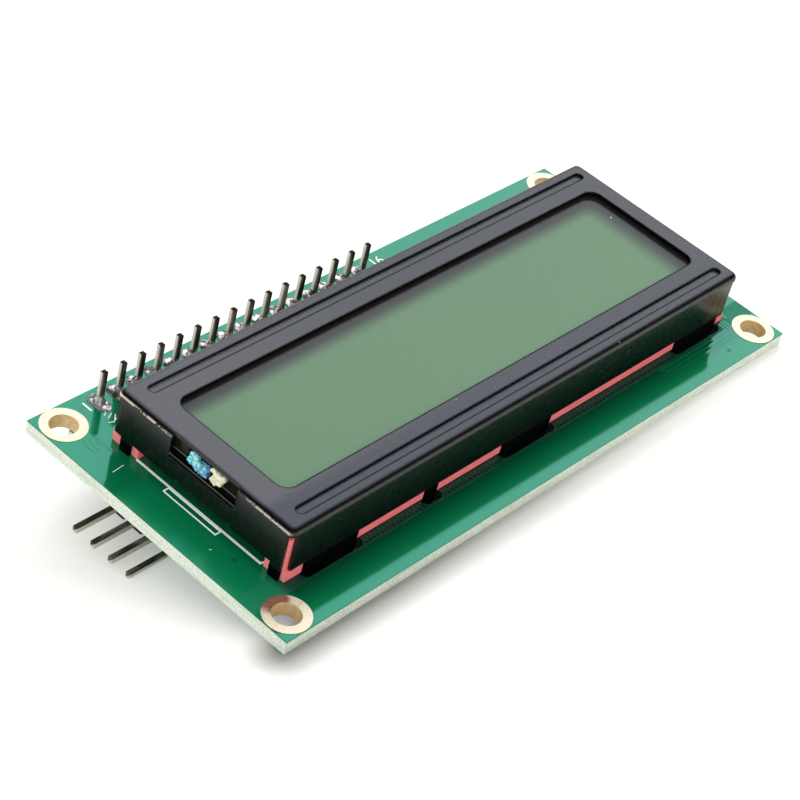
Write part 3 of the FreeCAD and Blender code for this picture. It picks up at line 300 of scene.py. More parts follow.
def grain_group():
    """Fine unevenness of a moulded, plated or coated face."""
    name = "fine grain"
    if name in bpy.data.node_groups:
        return bpy.data.node_groups[name]
    tree, given, wanted = new_group(name, {"Scale": 2000.0, "Low": 0.0, "High": 1.0}, ["Height", "Level"])
    coarse = tree.noise(given["Scale"], 3.0, 0.55)
    fine = tree.noise(tree.times(given["Scale"], 5.0), 2.0, 0.6)
    height = tree.plus(tree.times(coarse, 0.7), tree.times(fine, 0.3))
    tree.feed(wanted["Height"], height)
    tree.feed(wanted["Level"], tree.span(height, 0.3, 0.7, given["Low"], given["High"]))
    return tree.tree


def speck_group():
    """Sparse specks of dust, 1 on a speck and 0 between them."""
    name = "dust specks"
    if name in bpy.data.node_groups:
        return bpy.data.node_groups[name]
    tree, given, wanted = new_group(name, {"Scale": 350.0, "Size": 0.09, "Share": 0.62}, ["Mask"])
    near = tree.below(tree.cells(given["Scale"]), given["Size"])
    some = tree.above(tree.noise(tree.times(given["Scale"], 0.23), 1.0), given["Share"])
    tree.feed(wanted["Mask"], tree.times(near, some))
    return tree.tree


# finishes


def toned(colour, share):
    return tuple(share * v for v in colour)


def mixed(first, second, share):
    return tuple((1 - share) * a + share * b for a, b in zip(first, second))


def board_finish(made, mask, light_mask, front_shade=0.0):
    p = made.axes(made.place())
    n = made.axes(made.facing())
    flat = made.above(made.absolute(n[2]), 0.5)
    grain = made.grain(420.0)
    green = made.blend(grain, mask, mixed(mask, light_mask, 0.2))
    # the mask lies deeper in shade the nearer it comes to the bezel's front skirt
    low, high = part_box("bezel")
    deeper = made.span(p[1], low.y - 3.0 * MM, low.y + 0.1 * MM, 0.0, front_shade, False)
    beside = made.within(p[0], low.x, high.x, 0.8 * MM)
    deeper = made.times(deeper, made.below(p[1], low.y + 1.2 * MM), beside)
    green = made.blend(deeper, green, toned(mask, 0.1))
    # painted light: the strip of mask left of the bezel is painted a paler green
    along_left = made.within(p[1], -14.0 * MM, 5.0 * MM, 1.2 * MM)
    left_strip = made.times(made.fall(p[0], low.x - 0.9 * MM, low.x - 0.1 * MM), front_shade, along_left)
    green = made.blend(left_strip, green, toned(mask, 1.32))
    under_skirt = made.times(made.within(p[1], low.y - 0.5 * MM, low.y + 2.0 * MM, 0.08 * MM), front_shade)
    dull = made.plus(made.times(under_skirt, 0.55), made.times(left_strip, 0.12))
    sawn_grain = made.noise(4200.0, 3.0, 0.7)
    layers = made.noise(1500.0, 1.0, 0.5, made.mapped((0.12, 0.12, 1.6)))
    edge = tuple(colours().fibreglass)
    sawn = made.blend(made.span(sawn_grain, 0.40, 0.52), toned(edge, 0.76), edge)
    sawn = made.blend(made.span(layers, 0.54, 0.68, 0.0, 0.45), sawn, (0.56, 0.66, 0.50))
    lip = made.fall(made.absolute(made.plus(p[2], 0.05 * MM)), 0.04 * MM, 0.10 * MM)
    sawn = made.blend(lip, sawn, light_mask)
    if front_shade:
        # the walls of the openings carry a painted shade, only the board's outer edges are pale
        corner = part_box("main_board")[1]
        outer = [made.span(made.absolute(p[i]), corner[i] - 0.5 * MM, corner[i] - 0.3 * MM) for i in (0, 1)]
        sawn = made.blend(made.most(*outer), (0.012, 0.014, 0.009), sawn)
    colour = made.blend(flat, sawn, green)
    rough = made.plus(made.times(flat, -0.53), 0.62)
    rough = made.plus(rough, made.times(dull, flat))
    made.set(Base_Color=colour, Roughness=rough, IOR=MASK_IOR, Specular_Tint=MASK_TINT)
    # the shading normal leans a little toward the front edge, as on a board that bows up there
    bow = made.times(made.below(p[1], low.y + 1.0 * MM), 0.050 * front_shade)
    bow = made.node("ShaderNodeCombineXYZ", {1: bow})[0]
    normal = made.node("ShaderNodeNewGeometry")["Normal"]
    bowed = made.node("ShaderNodeVectorMath", {0: normal, 1: bow}, operation="ADD")[0]
    bowed = made.node("ShaderNodeVectorMath", {0: bowed}, operation="NORMALIZE")[0]
    made.bump(0.08, 0.02 * MM, bowed)


def track_finish(made, colour):
    grain = made.grain(900.0, 0.75, 1.15)
    tone = made.blend(grain, toned(colour, 0.7), colour)
    made.set(Base_Color=tone, Roughness=0.1, IOR=MASK_IOR, Specular_Tint=MASK_TINT)
    made.bump(0.1, 0.02 * MM)


def two_toned(made, scale, dark, pale, roughness, **others):
    """Two tones that follow the grain, as the roughness does between a pair of numbers."""
    grain = made.grain(scale)
    made.set(Base_Color=made.blend(grain, dark, pale), Roughness=made.between(grain, *roughness), **others)


def print_finish(made):
    # painted light: the print glows a little
    glow = {"Emission_Color": (0.95, 1.0, 0.95), "Emission_Strength": 0.16}
    two_toned(made, 3500.0, (0.74, 0.80, 0.74), (0.95, 0.96, 0.93), (0.5, 0.7), **glow)
    made.bump(0.3, 0.01 * MM)


def gold_finish(made):
    n = made.axes(made.facing())
    flat = made.span(made.absolute(n[2]), 0.4, 0.7)
    grain = made.grain(1600.0)
    gold = tuple(colours().gold)
    top = made.blend(made.span(grain, 0.0, 0.6), gold, (0.88, 0.79, 0.62))
    bore = made.blend(grain, (0.68, 0.47, 0.21), (0.88, 0.68, 0.38))
    # heat has turned the front left ring reddish on one side
    patches = made.span(made.noise(700.0, 3.0), 0.3, 0.6, 0.55, 1.0)
    blush = made.times(made.near(-37.4 * MM, -13.2 * MM, 1.7 * MM, 0.6 * MM), patches)
    top = made.blend(made.span(blush, 0.05, 0.7, 0.0, 0.9), top, (0.25, 0.085, 0.04))
    made.set(
        Base_Color=made.blend(flat, bore, top),
        Metallic=made.between(flat, 0.15, 0.35),
        Roughness=made.between(grain, 0.26, 0.42),
    )
    made.bump(0.15, 0.02 * MM)


def bezel_finish(made):
    low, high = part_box("bezel")
    p = made.axes(made.place())
    n = made.axes(made.facing())
    grain = made.grain(1500.0)
    dust = made.specks(420.0, 0.07, 0.60)
    scuff = made.noise(700.0, 4.0, 0.75)
    # the left fold, rubbed to bare steel along two runs and at both corners
    on_fold = made.times(made.span(made.times(n[0], -1.0), 0.50, 0.70), made.within(n[2], 0.20, 0.52, 0.06))
    at_left = made.fall(p[0], low.x + 0.9 * MM, low.x + 1.2 * MM)
    back_run = made.within(p[1], 4.2 * MM, 11.9 * MM, 0.8 * MM)
    front_run = made.within(p[1], -12.5 * MM, -6.6 * MM, 0.6 * MM)
    runs = made.most(back_run, made.times(front_run, 0.8))
    worn = made.times(on_fold, at_left, runs, made.span(scuff, 0.43, 0.50))
    # painted sheen and shade: the upper faces are painted a paler bluish grey, paler still toward the left
    # and even in front of the window, and the skirts a deeper black
    upper = made.span(n[2], 0.80, 0.97)
    deep = made.blend(grain, (0.0016, 0.0020, 0.0012), (0.0032, 0.0034, 0.0026))
    painted_sheen = made.blend(grain, tuple(colours().paint), (0.018, 0.024, 0.042))
    leftward = made.fall(p[0], -36.0 * MM, 4.0 * MM)
    painted_sheen = made.blend(leftward, painted_sheen, (0.052, 0.053, 0.064))
    painted_sheen = made.blend(made.fall(p[1], -9.3 * MM, -7.7 * MM), painted_sheen, (0.013, 0.016, 0.028))
    dull = made.blend(upper, deep, painted_sheen)
    coat = made.blend(dust, dull, (0.07, 0.12, 0.07))
    # painted highlight: a brownish line where the folds turn down toward the floor
    rim = made.times(made.within(n[2], 0.18, 0.62, 0.12), made.span(scuff, 0.3, 0.6, 0.4, 1.0))
    coat = made.blend(rim, coat, (0.034, 0.028, 0.019))
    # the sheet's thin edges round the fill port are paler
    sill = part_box("fill_port_plug")[0].z - 0.1 * MM
    port = made.within(p[1], -5.1 * MM, 3.7 * MM, 0.05 * MM)
    outer_line = made.within(p[2], sill - 0.02 * MM, sill + 0.1 * MM, 0.015 * MM)
    outermost = made.fall(p[0], low.x + 0.14 * MM, low.x + 0.18 * MM)
    lines = made.times(outer_line, outermost, port)
    outward = made.span(made.times(n[0], -1.0), 0.5, 0.8)
    plate_edge = made.span(p[2], high.z - 0.42 * MM, high.z - 0.38 * MM)
    plate_edge = made.times(plate_edge, port, outward, at_left)
    coat = made.blend(plate_edge, coat, (0.045, 0.038, 0.032))
    sill_face = made.within(p[2], sill - 0.3 * MM, sill + 0.4 * MM, 0.02 * MM)
    sill_face = made.times(sill_face, port, at_left)
    # a brown smudge low on the front skirt's right end
    smudge = made.times(
        made.within(p[0], high.x - 4.6 * MM, high.x - 1.2 * MM, 0.8 * MM),
        made.within(p[2], 1.6 * MM, 3.4 * MM, 0.6 * MM),
        made.span(made.times(n[1], -1.0), 0.7, 0.9),
        made.span(scuff, 0.30, 0.80, 0.0, 0.7),
    )
    coat = made.blend(smudge, coat, (0.11, 0.075, 0.055))
    # the outer folds are rounder than the edges of the window and channels
    inner = made.within(p[0], low.x + 0.8 * MM, high.x - 0.8 * MM, 0.1 * MM)
    inner = made.times(inner, made.within(p[1], low.y + 1.3 * MM, high.y - 1.3 * MM, 0.1 * MM))
    radius = made.between(inner, 0.50 * MM, 0.30 * MM)
    rounding = made.node("ShaderNodeBevel", {"Radius": radius}, samples=6)[0]
    # painted shade and dark reflection: edges that turn away from the camera's side are painted black, and
    # so are the feet and the port's sill face
    turned = made.axes(rounding)
    away = made.most(made.span(turned[1], 0.06, 0.20), made.span(turned[0], 0.14, 0.30))
    away = made.times(away, inner)
    feet = made.fall(p[2], 1.15 * MM, 1.45 * MM)
    black = made.most(away, feet, sill_face)
    coat = made.blend(black, coat, (0.0012, 0.0012, 0.0012))
    coat = made.blend(made.times(lines, made.span(scuff, 0.2, 0.5, 0.4, 1.0)), coat, (0.36, 0.33, 0.28))
    rough = made.plus(made.between(grain, 0.24, 0.31), made.times(black, 0.6))
    sheen = made.most(made.times(black, 0.85), made.times(worn, 0.7))
    made.set(
        Base_Color=made.blend(worn, coat, tuple(colours().bare_steel)),
        Metallic=sheen,
        Roughness=rough,
        IOR=1.52,
        Specular_Tint=(0.86, 0.90, 1.0),
    )
    made.height = made.times(made.height, upper)
    made.bump(0.10, 0.03 * MM, rounding)


def display_finish(made):
    """The grey-green field, deep under the front glass."""
    fine = made.grain(5200.0)
    cloud = made.noise(28.0, 2.0, 0.5)
    base = tuple(colours().display)
    tone = made.blend(made.span(cloud, 0.35, 0.65), toned(base, 0.94), base)
    tone = made.blend(made.times(fine, 0.18), tone, toned(base, 0.8))
    made.set(Base_Color=tone, Roughness=0.6)
    made.bump(0.1, 0.01 * MM)


def front_film(made):
    """Matt film over the field, shaded along the back and right of the window."""
    p = made.axes(made.place())
    fine = made.grain(3000.0)
    specks = made.specks(260.0, 0.05, 0.66)
    cloud = made.noise(28.0, 2.0, 0.5)
    round_by = 2.6 * MM
    back = 7.55 * MM
    right = 33.2 * MM
    from_back = made.minus(back - round_by, p[1])
    from_right = made.minus(right - round_by, p[0])
    corner = [made.most(made.times(v, -1.0), 0.0) for v in (from_back, from_right)]
    depth = made.minus(round_by, made.reach(*corner))
    base = tuple(colours().display)
    tone = made.blend(made.span(cloud, 0.35, 0.65), toned(base, 0.95), base)
    tone = made.blend(made.times(fine, 0.14), tone, toned(base, 0.8))
    fade_back = made.fall(made.minus(back, p[1]), 1.4 * MM, 3.6 * MM)
    fade_right = made.fall(made.minus(right, p[0]), 1.2 * MM, 4.8 * MM)
    fade = made.minus(made.plus(fade_back, fade_right), made.times(fade_back, fade_right))
    tone = made.blend(fade, tone, (0.036, 0.042, 0.047))
    border = made.fall(depth, 0.75 * MM, 1.15 * MM)
    tone = made.blend(border, tone, (0.003, 0.003, 0.003))
    made.set(
        Base_Color=made.blend(specks, tone, (0.75, 0.78, 0.74)),
        Roughness=made.plus(made.between(fine, 0.34, 0.42), made.times(border, 0.5)),
        Alpha=0.92,
        Specular_IOR_Level=0.30,
        IOR=1.5,
    )
    made.bump(0.05, 0.01 * MM)


def cell_glass(made):
    """Glass whose cut ends carry painted shade and whose lowest left edge carries painted light."""
    p = made.axes(made.place())
    n = made.axes(made.facing())
    fine = made.grain(1200.0)
    film = made.blend(fine, (0.25, 0.36, 0.28), (0.30, 0.42, 0.33))
    ends = made.below(made.absolute(n[2]), 0.5)
    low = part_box("rear_glass")[0]
    # painted light along the lowest edge of the cut ends
    lit = made.times(made.fall(p[2], low.z + 0.09 * MM, low.z + 0.13 * MM), ends)
    # painted shade on the cut ends, paler in a band that grows upward
    olive = made.blend(fine, (0.002, 0.002, 0.001), (0.014, 0.015, 0.008))
    upward = made.span(p[2], low.z, low.z + 1.0 * MM)
    dim = made.times(made.within(p[1], 2.1 * MM, 3.1 * MM, 0.3 * MM), upward, 0.8)
    olive = made.blend(dim, olive, (0.045, 0.048, 0.026))
    tone = made.blend(ends, film, made.blend(lit, olive, (0.20, 0.24, 0.19)))
    made.set(
        Base_Color=tone,
        Roughness=made.between(ends, 0.05, 0.85),
        Alpha=made.between(ends, 0.06, 1.0),
        IOR=1.25,
    )
    made.bump(0.05, 0.01 * MM)


def rubber_finish(made):
    p = made.axes(made.place())
    n = made.axes(made.facing())
    grain = made.grain(1300.0)
    rubber = tuple(colours().rubber)
    # painted light: the cut ends are a paler pink than the sides
    pale = (0.95, 0.34, 0.34)
    side = made.blend(grain, toned(rubber, 0.82), rubber)
    ends = made.above(made.absolute(n[0]), 0.6)
    # the two outer skins are pink and the core between them is layered dark
    layers_per_metre = 16000.0
    layer = made.math("SINE", made.times(p[1], layers_per_metre))
    core = made.span(made.absolute(layer), 0.3, 0.7, 0.25, 0.0)
    cut_end = made.blend(core, pale, (0.45, 0.10, 0.10))
    # painted shade: the front strips are dark above and below the band that shows between the skirt and the
    # board
    along_front = made.times(made.fall(n[1], -0.7, -0.5), made.span(p[0], -32.2 * MM, -32.0 * MM))
    lit = made.within(p[2], 0.14 * MM, 1.12 * MM, 0.05 * MM)
    shaded = made.times(along_front, made.minus(1.0, lit))
    tone = made.blend(shaded, made.blend(ends, side, cut_end), (0.002, 0.004, 0.002))
    # painted light: the pink glows a little, except where the painted shade lies
    made.set(
        Base_Color=tone,
        Roughness=made.between(grain, 0.42, 0.6),
        Subsurface_Weight=0.12,
        Subsurface_Scale=0.4 * MM,
        Emission_Color=made.blend(shaded, (1.0, 0.16, 0.17), (0.0, 0.0, 0.0)),
        Emission_Strength=0.17,
    )
    made.bump(0.25, 0.05 * MM)


def resin_finish(made, tone, share, rough):
    coat = {"Coat_Weight": 0.4, "Coat_Roughness": 0.08}
    two_toned(made, 900.0, toned(tone, share), tone, (rough * 0.8, rough * 1.3), **coat)
    made.bump(0.25, 0.06 * MM)


def plug_finish(made):
    low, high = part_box("fill_port_plug")
    p = made.axes(made.place())
    grain = made.grain(1100.0)
    blue = tuple(colours().plug)
    # painted light: the blue is paler toward +y and toward the top, with near-white and deep blue patches
    rise = made.span(p[2], low.z, high.z)
    along = made.span(p[1], -0.6 * MM, 0.7 * MM)
    tone = made.blend(along, (0.08, 0.33, 0.66), (0.22, 0.86, 0.90))
    tone = made.blend(made.times(rise, 0.25), tone, (0.40, 0.92, 0.92))
    tone = made.blend(made.span(grain, 0.55, 1.0, 0.0, 0.6), tone, blue)
    patch = made.noise(2600.0, 2.0, 0.6)
    tone = made.blend(made.span(patch, 0.54, 0.60, 0.0, 0.6), tone, (0.80, 0.95, 0.96))
    tone = made.blend(made.span(patch, 0.40, 0.45, 0.7, 0.0), tone, (0.02, 0.16, 0.34))
    made.set(Base_Color=tone, Roughness=0.22, Coat_Weight=0.5, Coat_Roughness=0.05)
    made.bump(0.3, 0.05 * MM)


def epoxy_finish(made):
    grain = made.grain(260.0)
    specks = made.specks(900.0, 0.1, 0.56)
    tone = made.blend(grain, (0.006, 0.006, 0.007), (0.014, 0.013, 0.013))
    made.set(
        Base_Color=made.blend(specks, tone, (0.06, 0.06, 0.06)),
        Roughness=made.between(grain, 0.16, 0.30),
        Coat_Weight=0.25,
        Coat_Roughness=0.1,
    )
    made.bump(0.5, 0.25 * MM)


def moulded_finish(made, tone, spread, rough, scale=2200.0, soft=0.06):
    two_toned(made, scale, toned(tone, 1 - spread), tone, (rough * 0.85, rough * 1.15))
    made.bump(0.25, 0.03 * MM, made.soft_edges(soft * MM))


def tray_finish(made):
    """White moulding with a painted black shade on its left wall, which the fill port shows."""
    p = made.axes(made.place())
    grain = made.grain(2200.0)
    white = made.blend(grain, (0.75, 0.75, 0.72), (0.80, 0.80, 0.77))
    left = made.fall(p[0], -33.0 * MM, -32.8 * MM)
    made.set(
        Base_Color=made.blend(left, white, (0.002, 0.002, 0.001)),
        Metallic=made.times(left, 0.85),
        Roughness=made.between(grain, 0.36, 0.48),
    )
    made.bump(0.25, 0.03 * MM)


def tinned_finish(made, tin):
    grain = made.grain(1700.0)
    stain = made.span(made.noise(520.0, 3.0, 0.6), 0.52, 0.72, 0.0, 0.55)
    plate = made.blend(grain, toned(tin, 0.82), tin)
    made.set(
        Base_Color=made.blend(stain, plate, (0.28, 0.22, 0.15)),
        Metallic=1.0,
        Roughness=made.between(grain, 0.216, 0.3375),
    )
    made.bump(0.3, 0.02 * MM, made.soft_edges(0.05 * MM))


def sided_pins(made, axis, sign, dark, pale, share, inner=None):
    """Tinned pins with painted shade on one side, and everywhere in front of inner where it is given."""
    n = made.axes(made.facing())
    grain = made.grain(1300.0)
    lengthwise = (0.25, 1.0, 1.0) if axis == 2 else (1.0, 1.0, 0.25)
    streak = made.noise(900.0, 3.0, 0.6, made.mapped(lengthwise))
    turned = made.span(made.times(n[axis], sign), 0.45, 0.75)
    if inner is not None:
        p = made.axes(made.place())
        turned = made.most(turned, made.fall(p[1], inner - 0.06 * MM, inner + 0.06 * MM))
    plate = made.blend(grain, toned(pale, 0.86), pale)
    shade = made.blend(made.span(streak, 0.45, 0.7), dark, mixed(dark, pale, 0.3))
    colour = made.blend(turned, plate, shade)
    # painted shade on the up-facing faces too
    if axis != 2:
        colour = made.blend(made.span(n[2], 0.3, 0.6), colour, (0.055, 0.030, 0.022))
    made.set(
        Base_Color=colour,
        Metallic=made.between(turned, share, 0.3),
        Roughness=made.between(grain, 0.36, 0.5),
    )
    made.bump(0.3, 0.02 * MM, made.soft_edges(0.05 * MM))


def header_pin_finish(made):
    low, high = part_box("header_pins")
    row = (low.y + high.y) / 2
    # painted shade on the -y faces and in front of the row's middle, and a painted light tone on the rest
    sided_pins(made, 1, -1.0, (0.018, 0.012, 0.009), (0.93, 0.87, 0.77), 0.08, row - 0.07 * MM)


def solder_finish(made):
    grain = made.grain(1500.0)
    flux = made.span(made.noise(1500.0, 3.0, 0.65), 0.47, 0.57)
    tin = made.blend(grain, (0.50, 0.50, 0.54), (0.92, 0.92, 0.95))
    made.set(
        Base_Color=made.blend(flux, tin, (0.06, 0.05, 0.03)),
        Metallic=made.between(flux, 0.7, 0.1),
        Roughness=made.between(grain, 0.14, 0.30),
    )
    made.bump(0.5, 0.08 * MM)


def transistor_finish(made):
    """Black block with tinned legs on both long sides."""
    low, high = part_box("transistor")
    p = made.axes(made.place())
    grain = made.grain(2400.0)
    away = made.absolute(made.minus(p[1], (low.y + high.y) / 2))
    leg = made.above(away, 0.66 * MM)
    block = made.blend(grain, (0.012, 0.012, 0.013), (0.022, 0.022, 0.023))
    metal = made.blend(grain, (0.50, 0.49, 0.46), (0.66, 0.65, 0.61))
    made.set(
        Base_Color=made.blend(leg, block, metal),
        Metallic=leg,
        Roughness=made.between(grain, 0.3, 0.5),
    )
    made.bump(0.2, 0.02 * MM, made.soft_edges(0.05 * MM))


# each finish with the numbers it is built from, where a word stands for a colour that the user sets
FINISHES = {
    "green board": (board_finish, "mask", "mask_light", 0.86),
    "black board": (board_finish, "adapter_mask", (0.02, 0.03, 0.03)),
    "covered copper": (track_finish, "mask_light"),
    "covered adapter copper": (track_finish, (0.03, 0.045, 0.045)),
    "dark finger": (track_finish, (0.004, 0.034, 0.019)),
    "white print": (print_finish,),
    "plated copper": (gold_finish,),
    "black coated steel": (bezel_finish,),
    "display field": (display_finish,),
    "front film": (front_film,),
    "cell glass": (cell_glass,),
    "pink silicone": (rubber_finish,),
    "cell seal": (resin_finish, (0.10, 0.10, 0.05), 0.4, 0.45),
    "cream resin": (resin_finish, "bead", 0.80, 0.28),
    "blue resin": (plug_finish,),
    "black resin": (epoxy_finish,),
    "tray moulding": (tray_finish,),
    "black moulding": (moulded_finish, (0.016, 0.016, 0.018), 0.35, 0.42),
    "chip moulding": (moulded_finish, (0.022, 0.022, 0.024), 0.3, 0.55, 3600.0),
    "blue moulding": (moulded_finish, "trimmer", 0.18, 0.28, 1800.0, 0.12),
    "white rotor": (moulded_finish, (0.78, 0.77, 0.72), 0.1, 0.38),
    "clear acrylic": (moulded_finish, (0.72, 0.78, 0.76), 0.06, 0.15),
    "amber lens": (moulded_finish, (0.86, 0.74, 0.28), 0.15, 0.25),
    "red lens": (moulded_finish, (0.70, 0.03, 0.02), 0.15, 0.16),
    "resistor coat": (moulded_finish, (0.012, 0.012, 0.014), 0.3, 0.25),
    "brown ceramic": (moulded_finish, (0.42, 0.28, 0.17), 0.2, 0.38),
    "tinned pins": (tinned_finish, "tin"),
    "header pin plate": (header_pin_finish,),
    # the side pins carry painted shade on their top faces and a painted light tone on the rest
    "side pin plate": (sided_pins, 2, 1.0, (0.050, 0.040, 0.028), (0.78, 0.74, 0.64), 0.5),
    "bright solder": (solder_finish,),
    "transistor": (transistor_finish,),
}


def kept(name):
    """The material of this name, built the first time it is asked for."""
    if name not in bpy.data.materials:
        build, *numbers = FINISHES[name]
        build(Finish(name), *[tuple(getattr(colours(), v)) if isinstance(v, str) else v for v in numbers])
    return bpy.data.materials[name]


# modelling, as by hand


def deselect():
    if bpy.context.object and bpy.context.object.mode != "OBJECT":
        bpy.ops.object.mode_set(mode="OBJECT")
    bpy.ops.object.select_all(action="DESELECT")


def select(*items):
    deselect()
    for item in items:
        item.select_set(True)
    bpy.context.view_layer.objects.active = items[0]


def choose(item, kind, test):
    """In edit mode, selects the faces, edges or verts of an item that pass a test."""
    select(item)
    bpy.ops.object.mode_set(mode="EDIT")
    bpy.context.tool_settings.mesh_select_mode = (kind == "verts", kind == "edges", kind == "faces")
    bpy.ops.mesh.select_all(action="DESELECT")
    mesh = bmesh.from_edit_mesh(item.data)
    chosen = [part for part in getattr(mesh, kind) if test(part)]
    if not chosen:
        raise RuntimeError(f"no {kind} of {item.name} could be selected")
    for part in chosen:
        part.select = True
    mesh.select_flush_mode()
    bmesh.update_edit_mesh(item.data)


def shift(x, y, z):
    """Moves what is selected in edit mode."""
    bpy.ops.transform.translate(value=(x, y, z))


def settle(item):
    """Puts the item's place, turn and scale into its mesh."""
    select(item)
    bpy.ops.object.transform_apply(location=True, rotation=True, scale=True)


def block(x, y, z):
    """A box between two corners' coordinates, each given as a pair."""
    deselect()
    bpy.ops.mesh.primitive_cube_add(size=1.0, location=[sum(pair) / 2 for pair in (x, y, z)])
    item = bpy.context.object
    item.scale = [pair[1] - pair[0] for pair in (x, y, z)]
    settle(item)
    return item


def disc(height, radius, sides):
    """A flat round piece that stands on the origin."""
    deselect()
    bpy.ops.mesh.primitive_cylinder_add(
        vertices=sides, radius=radius, depth=height, location=(0.0, 0.0, height / 2)
    )
    item = bpy.context.object
    settle(item)
    return item


def modify(item, kind, **settings):
    select(item)
    modifier = item.modifiers.new(kind.lower(), kind)
    for name, value in settings.items():
        setattr(modifier, name, value)
    bpy.ops.object.modifier_apply(modifier=modifier.name)


def lumps(item, depth, size):
    """Makes a face uneven, a different way in each place."""
    texture = bpy.data.textures.get("lumps") or bpy.data.textures.new("lumps", "CLOUDS")
    texture.noise_scale = size
    texture.noise_depth = 2
    modify(item, "DISPLACE", texture=texture, texture_coords="GLOBAL", strength=depth, mid_level=0.5)


def joined(items):
    select(*items)
    bpy.ops.object.join()
    return bpy.context.object


def copies(item, places, turns=(0.0,)):
    """Copies an item to each place, each copy with its own mesh, and joins them."""
    made = []
    for number, place in enumerate(places):
        select(item)
        bpy.ops.object.duplicate(linked=False)
        copy = bpy.context.object
        copy.location = place
        copy.rotation_euler = (0.0, 0.0, turns[number % len(turns)])
        made.append(copy)
    bpy.data.objects.remove(item)
    item = joined(made)
    settle(item)
    return item


def tidy_normals(item):
    choose(item, "verts", lambda vert: True)
    bpy.ops.mesh.remove_doubles(threshold=0.0005 * MM)
    bpy.ops.mesh.select_all(action="SELECT")
    bpy.ops.mesh.normals_make_consistent(inside=False)
    deselect()


def finished(item, name, finish, smooth=35.0, body="module"):
    """Names a piece, gives it its finish and lets it ride on a body."""
    select(item)
    bpy.ops.object.shade_smooth_by_angle(angle=math.radians(smooth))
    item.name = name
    item.data.name = name
    item.data.materials.clear()
    item.data.materials.append(kept(finish))
    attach(item, body)
    return item


def dress(finish, *nodes):
    """Gives CAD nodes a finish."""
    material = kept(finish)
    for node in nodes:
        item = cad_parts[node]
        if not item.material_slots:
            item.data.materials.append(material)
        for slot in item.material_slots:
            slot.material = material


def drawn_lines(name, runs, width, height, level, finish, downward=False):
    """Flat raised lines that follow runs of points in millimetres on a board's face."""
    curve = bpy.data.curves.new(name, "CURVE")
    curve.dimensions = "2D"
    curve.fill_mode = "NONE"
    curve.extrude = height / 2
    for run in runs:
        spline = curve.splines.new("POLY")
        spline.points.add(len(run) - 1)
        for point, (x, y) in zip(spline.points, run):
            point.co = (x * MM, y * MM, 0.0, 1.0)
    item = bpy.data.objects.new(name, curve)
    bpy.context.scene.collection.objects.link(item)
    select(item)
    bpy.ops.object.convert(target="MESH")
    item = bpy.context.object
    modify(item, "SOLIDIFY", thickness=width, offset=0.0, use_even_offset=True, use_rim=True)
    item.location.z = level - height / 2 if downward else level + height / 2
    settle(item)
    tidy_normals(item)
    finished(item, name, finish, 30.0)


def bend(start, corner, end, steps=5):
    """Points of a rounded corner between two places."""
    made = []
    for step in range(steps + 1):
        t = step / steps
        shares = ((1 - t) ** 2, 2 * t * (1 - t), t * t)
        made.append(tuple(sum(s * v for s, v in zip(shares, axis)) for axis in zip(start, corner, end)))
    return made


def arc(x, y, radius, start, step, count):
    """Points on a circle round a place, with the angles in degrees."""
    turns = [math.radians(start + step * number) for number in range(count)]
    return [(x + radius * math.cos(turn), y + radius * math.sin(turn)) for turn in turns]


def rectangle(x0, y0, x1, y1):
    return [(x0, y0), (x1, y0), (x1, y1), (x0, y1), (x0, y0)]


def pin_x(number):
    return FIRST_PIN + PIN_PITCH * number


def ring_row(name, places, level, sign, radius, finish):
    """Small plated rings of vias on a face that looks up or down by its sign."""
    deselect()
    bpy.ops.mesh.primitive_torus_add(
        major_segments=14, minor_segments=6, major_radius=radius * 0.7, minor_radius=radius * 0.3
    )
    item = bpy.context.object
    item.scale = (1.0, 1.0, 0.28)
    settle(item)
    item = copies(item, [(x * MM, y * MM, level + sign * 0.02 * MM) for x, y in places])
    finished(item, name, finish)


def number_print(name, text, x, y, size):
    """A plain number of the header, printed on the display board's face."""
    thickness = 0.012 * MM
    deselect()
    bpy.ops.object.text_add(location=(x * MM, y * MM, thickness))
    item = bpy.context.object
    item.data.body = text
    item.data.size = size * MM
    item.data.extrude = thickness
    item.data.resolution_u = 3
    bpy.ops.object.convert(target="MESH")
    item = bpy.context.object
    settle(item)
    finished(item, name, "white print", 30.0)


def solder_joint(radius, height):
    """One hollow-sided joint, drawn up from a disc in rising and narrowing rings."""
    top = LAND_HEIGHT
    item = disc(top, radius, 20)
    choose(item, "faces", lambda face: face.normal.z > 0.9)
    width = radius
    rings = ((0.10, 0.96), (0.22, 0.84), (0.38, 0.70), (0.56, 0.60), (0.75, 0.53), (0.92, 0.46), (1.0, 0.36))
    for rise, share in rings:
        bpy.ops.mesh.extrude_region_move(TRANSFORM_OT_translate={"value": (0.0, 0.0, rise * height - top)})
        scale = share * radius / width
        bpy.ops.transform.resize(value=(scale, scale, 1.0))
        width = share * radius
        top = rise * height
    deselect()
    return item


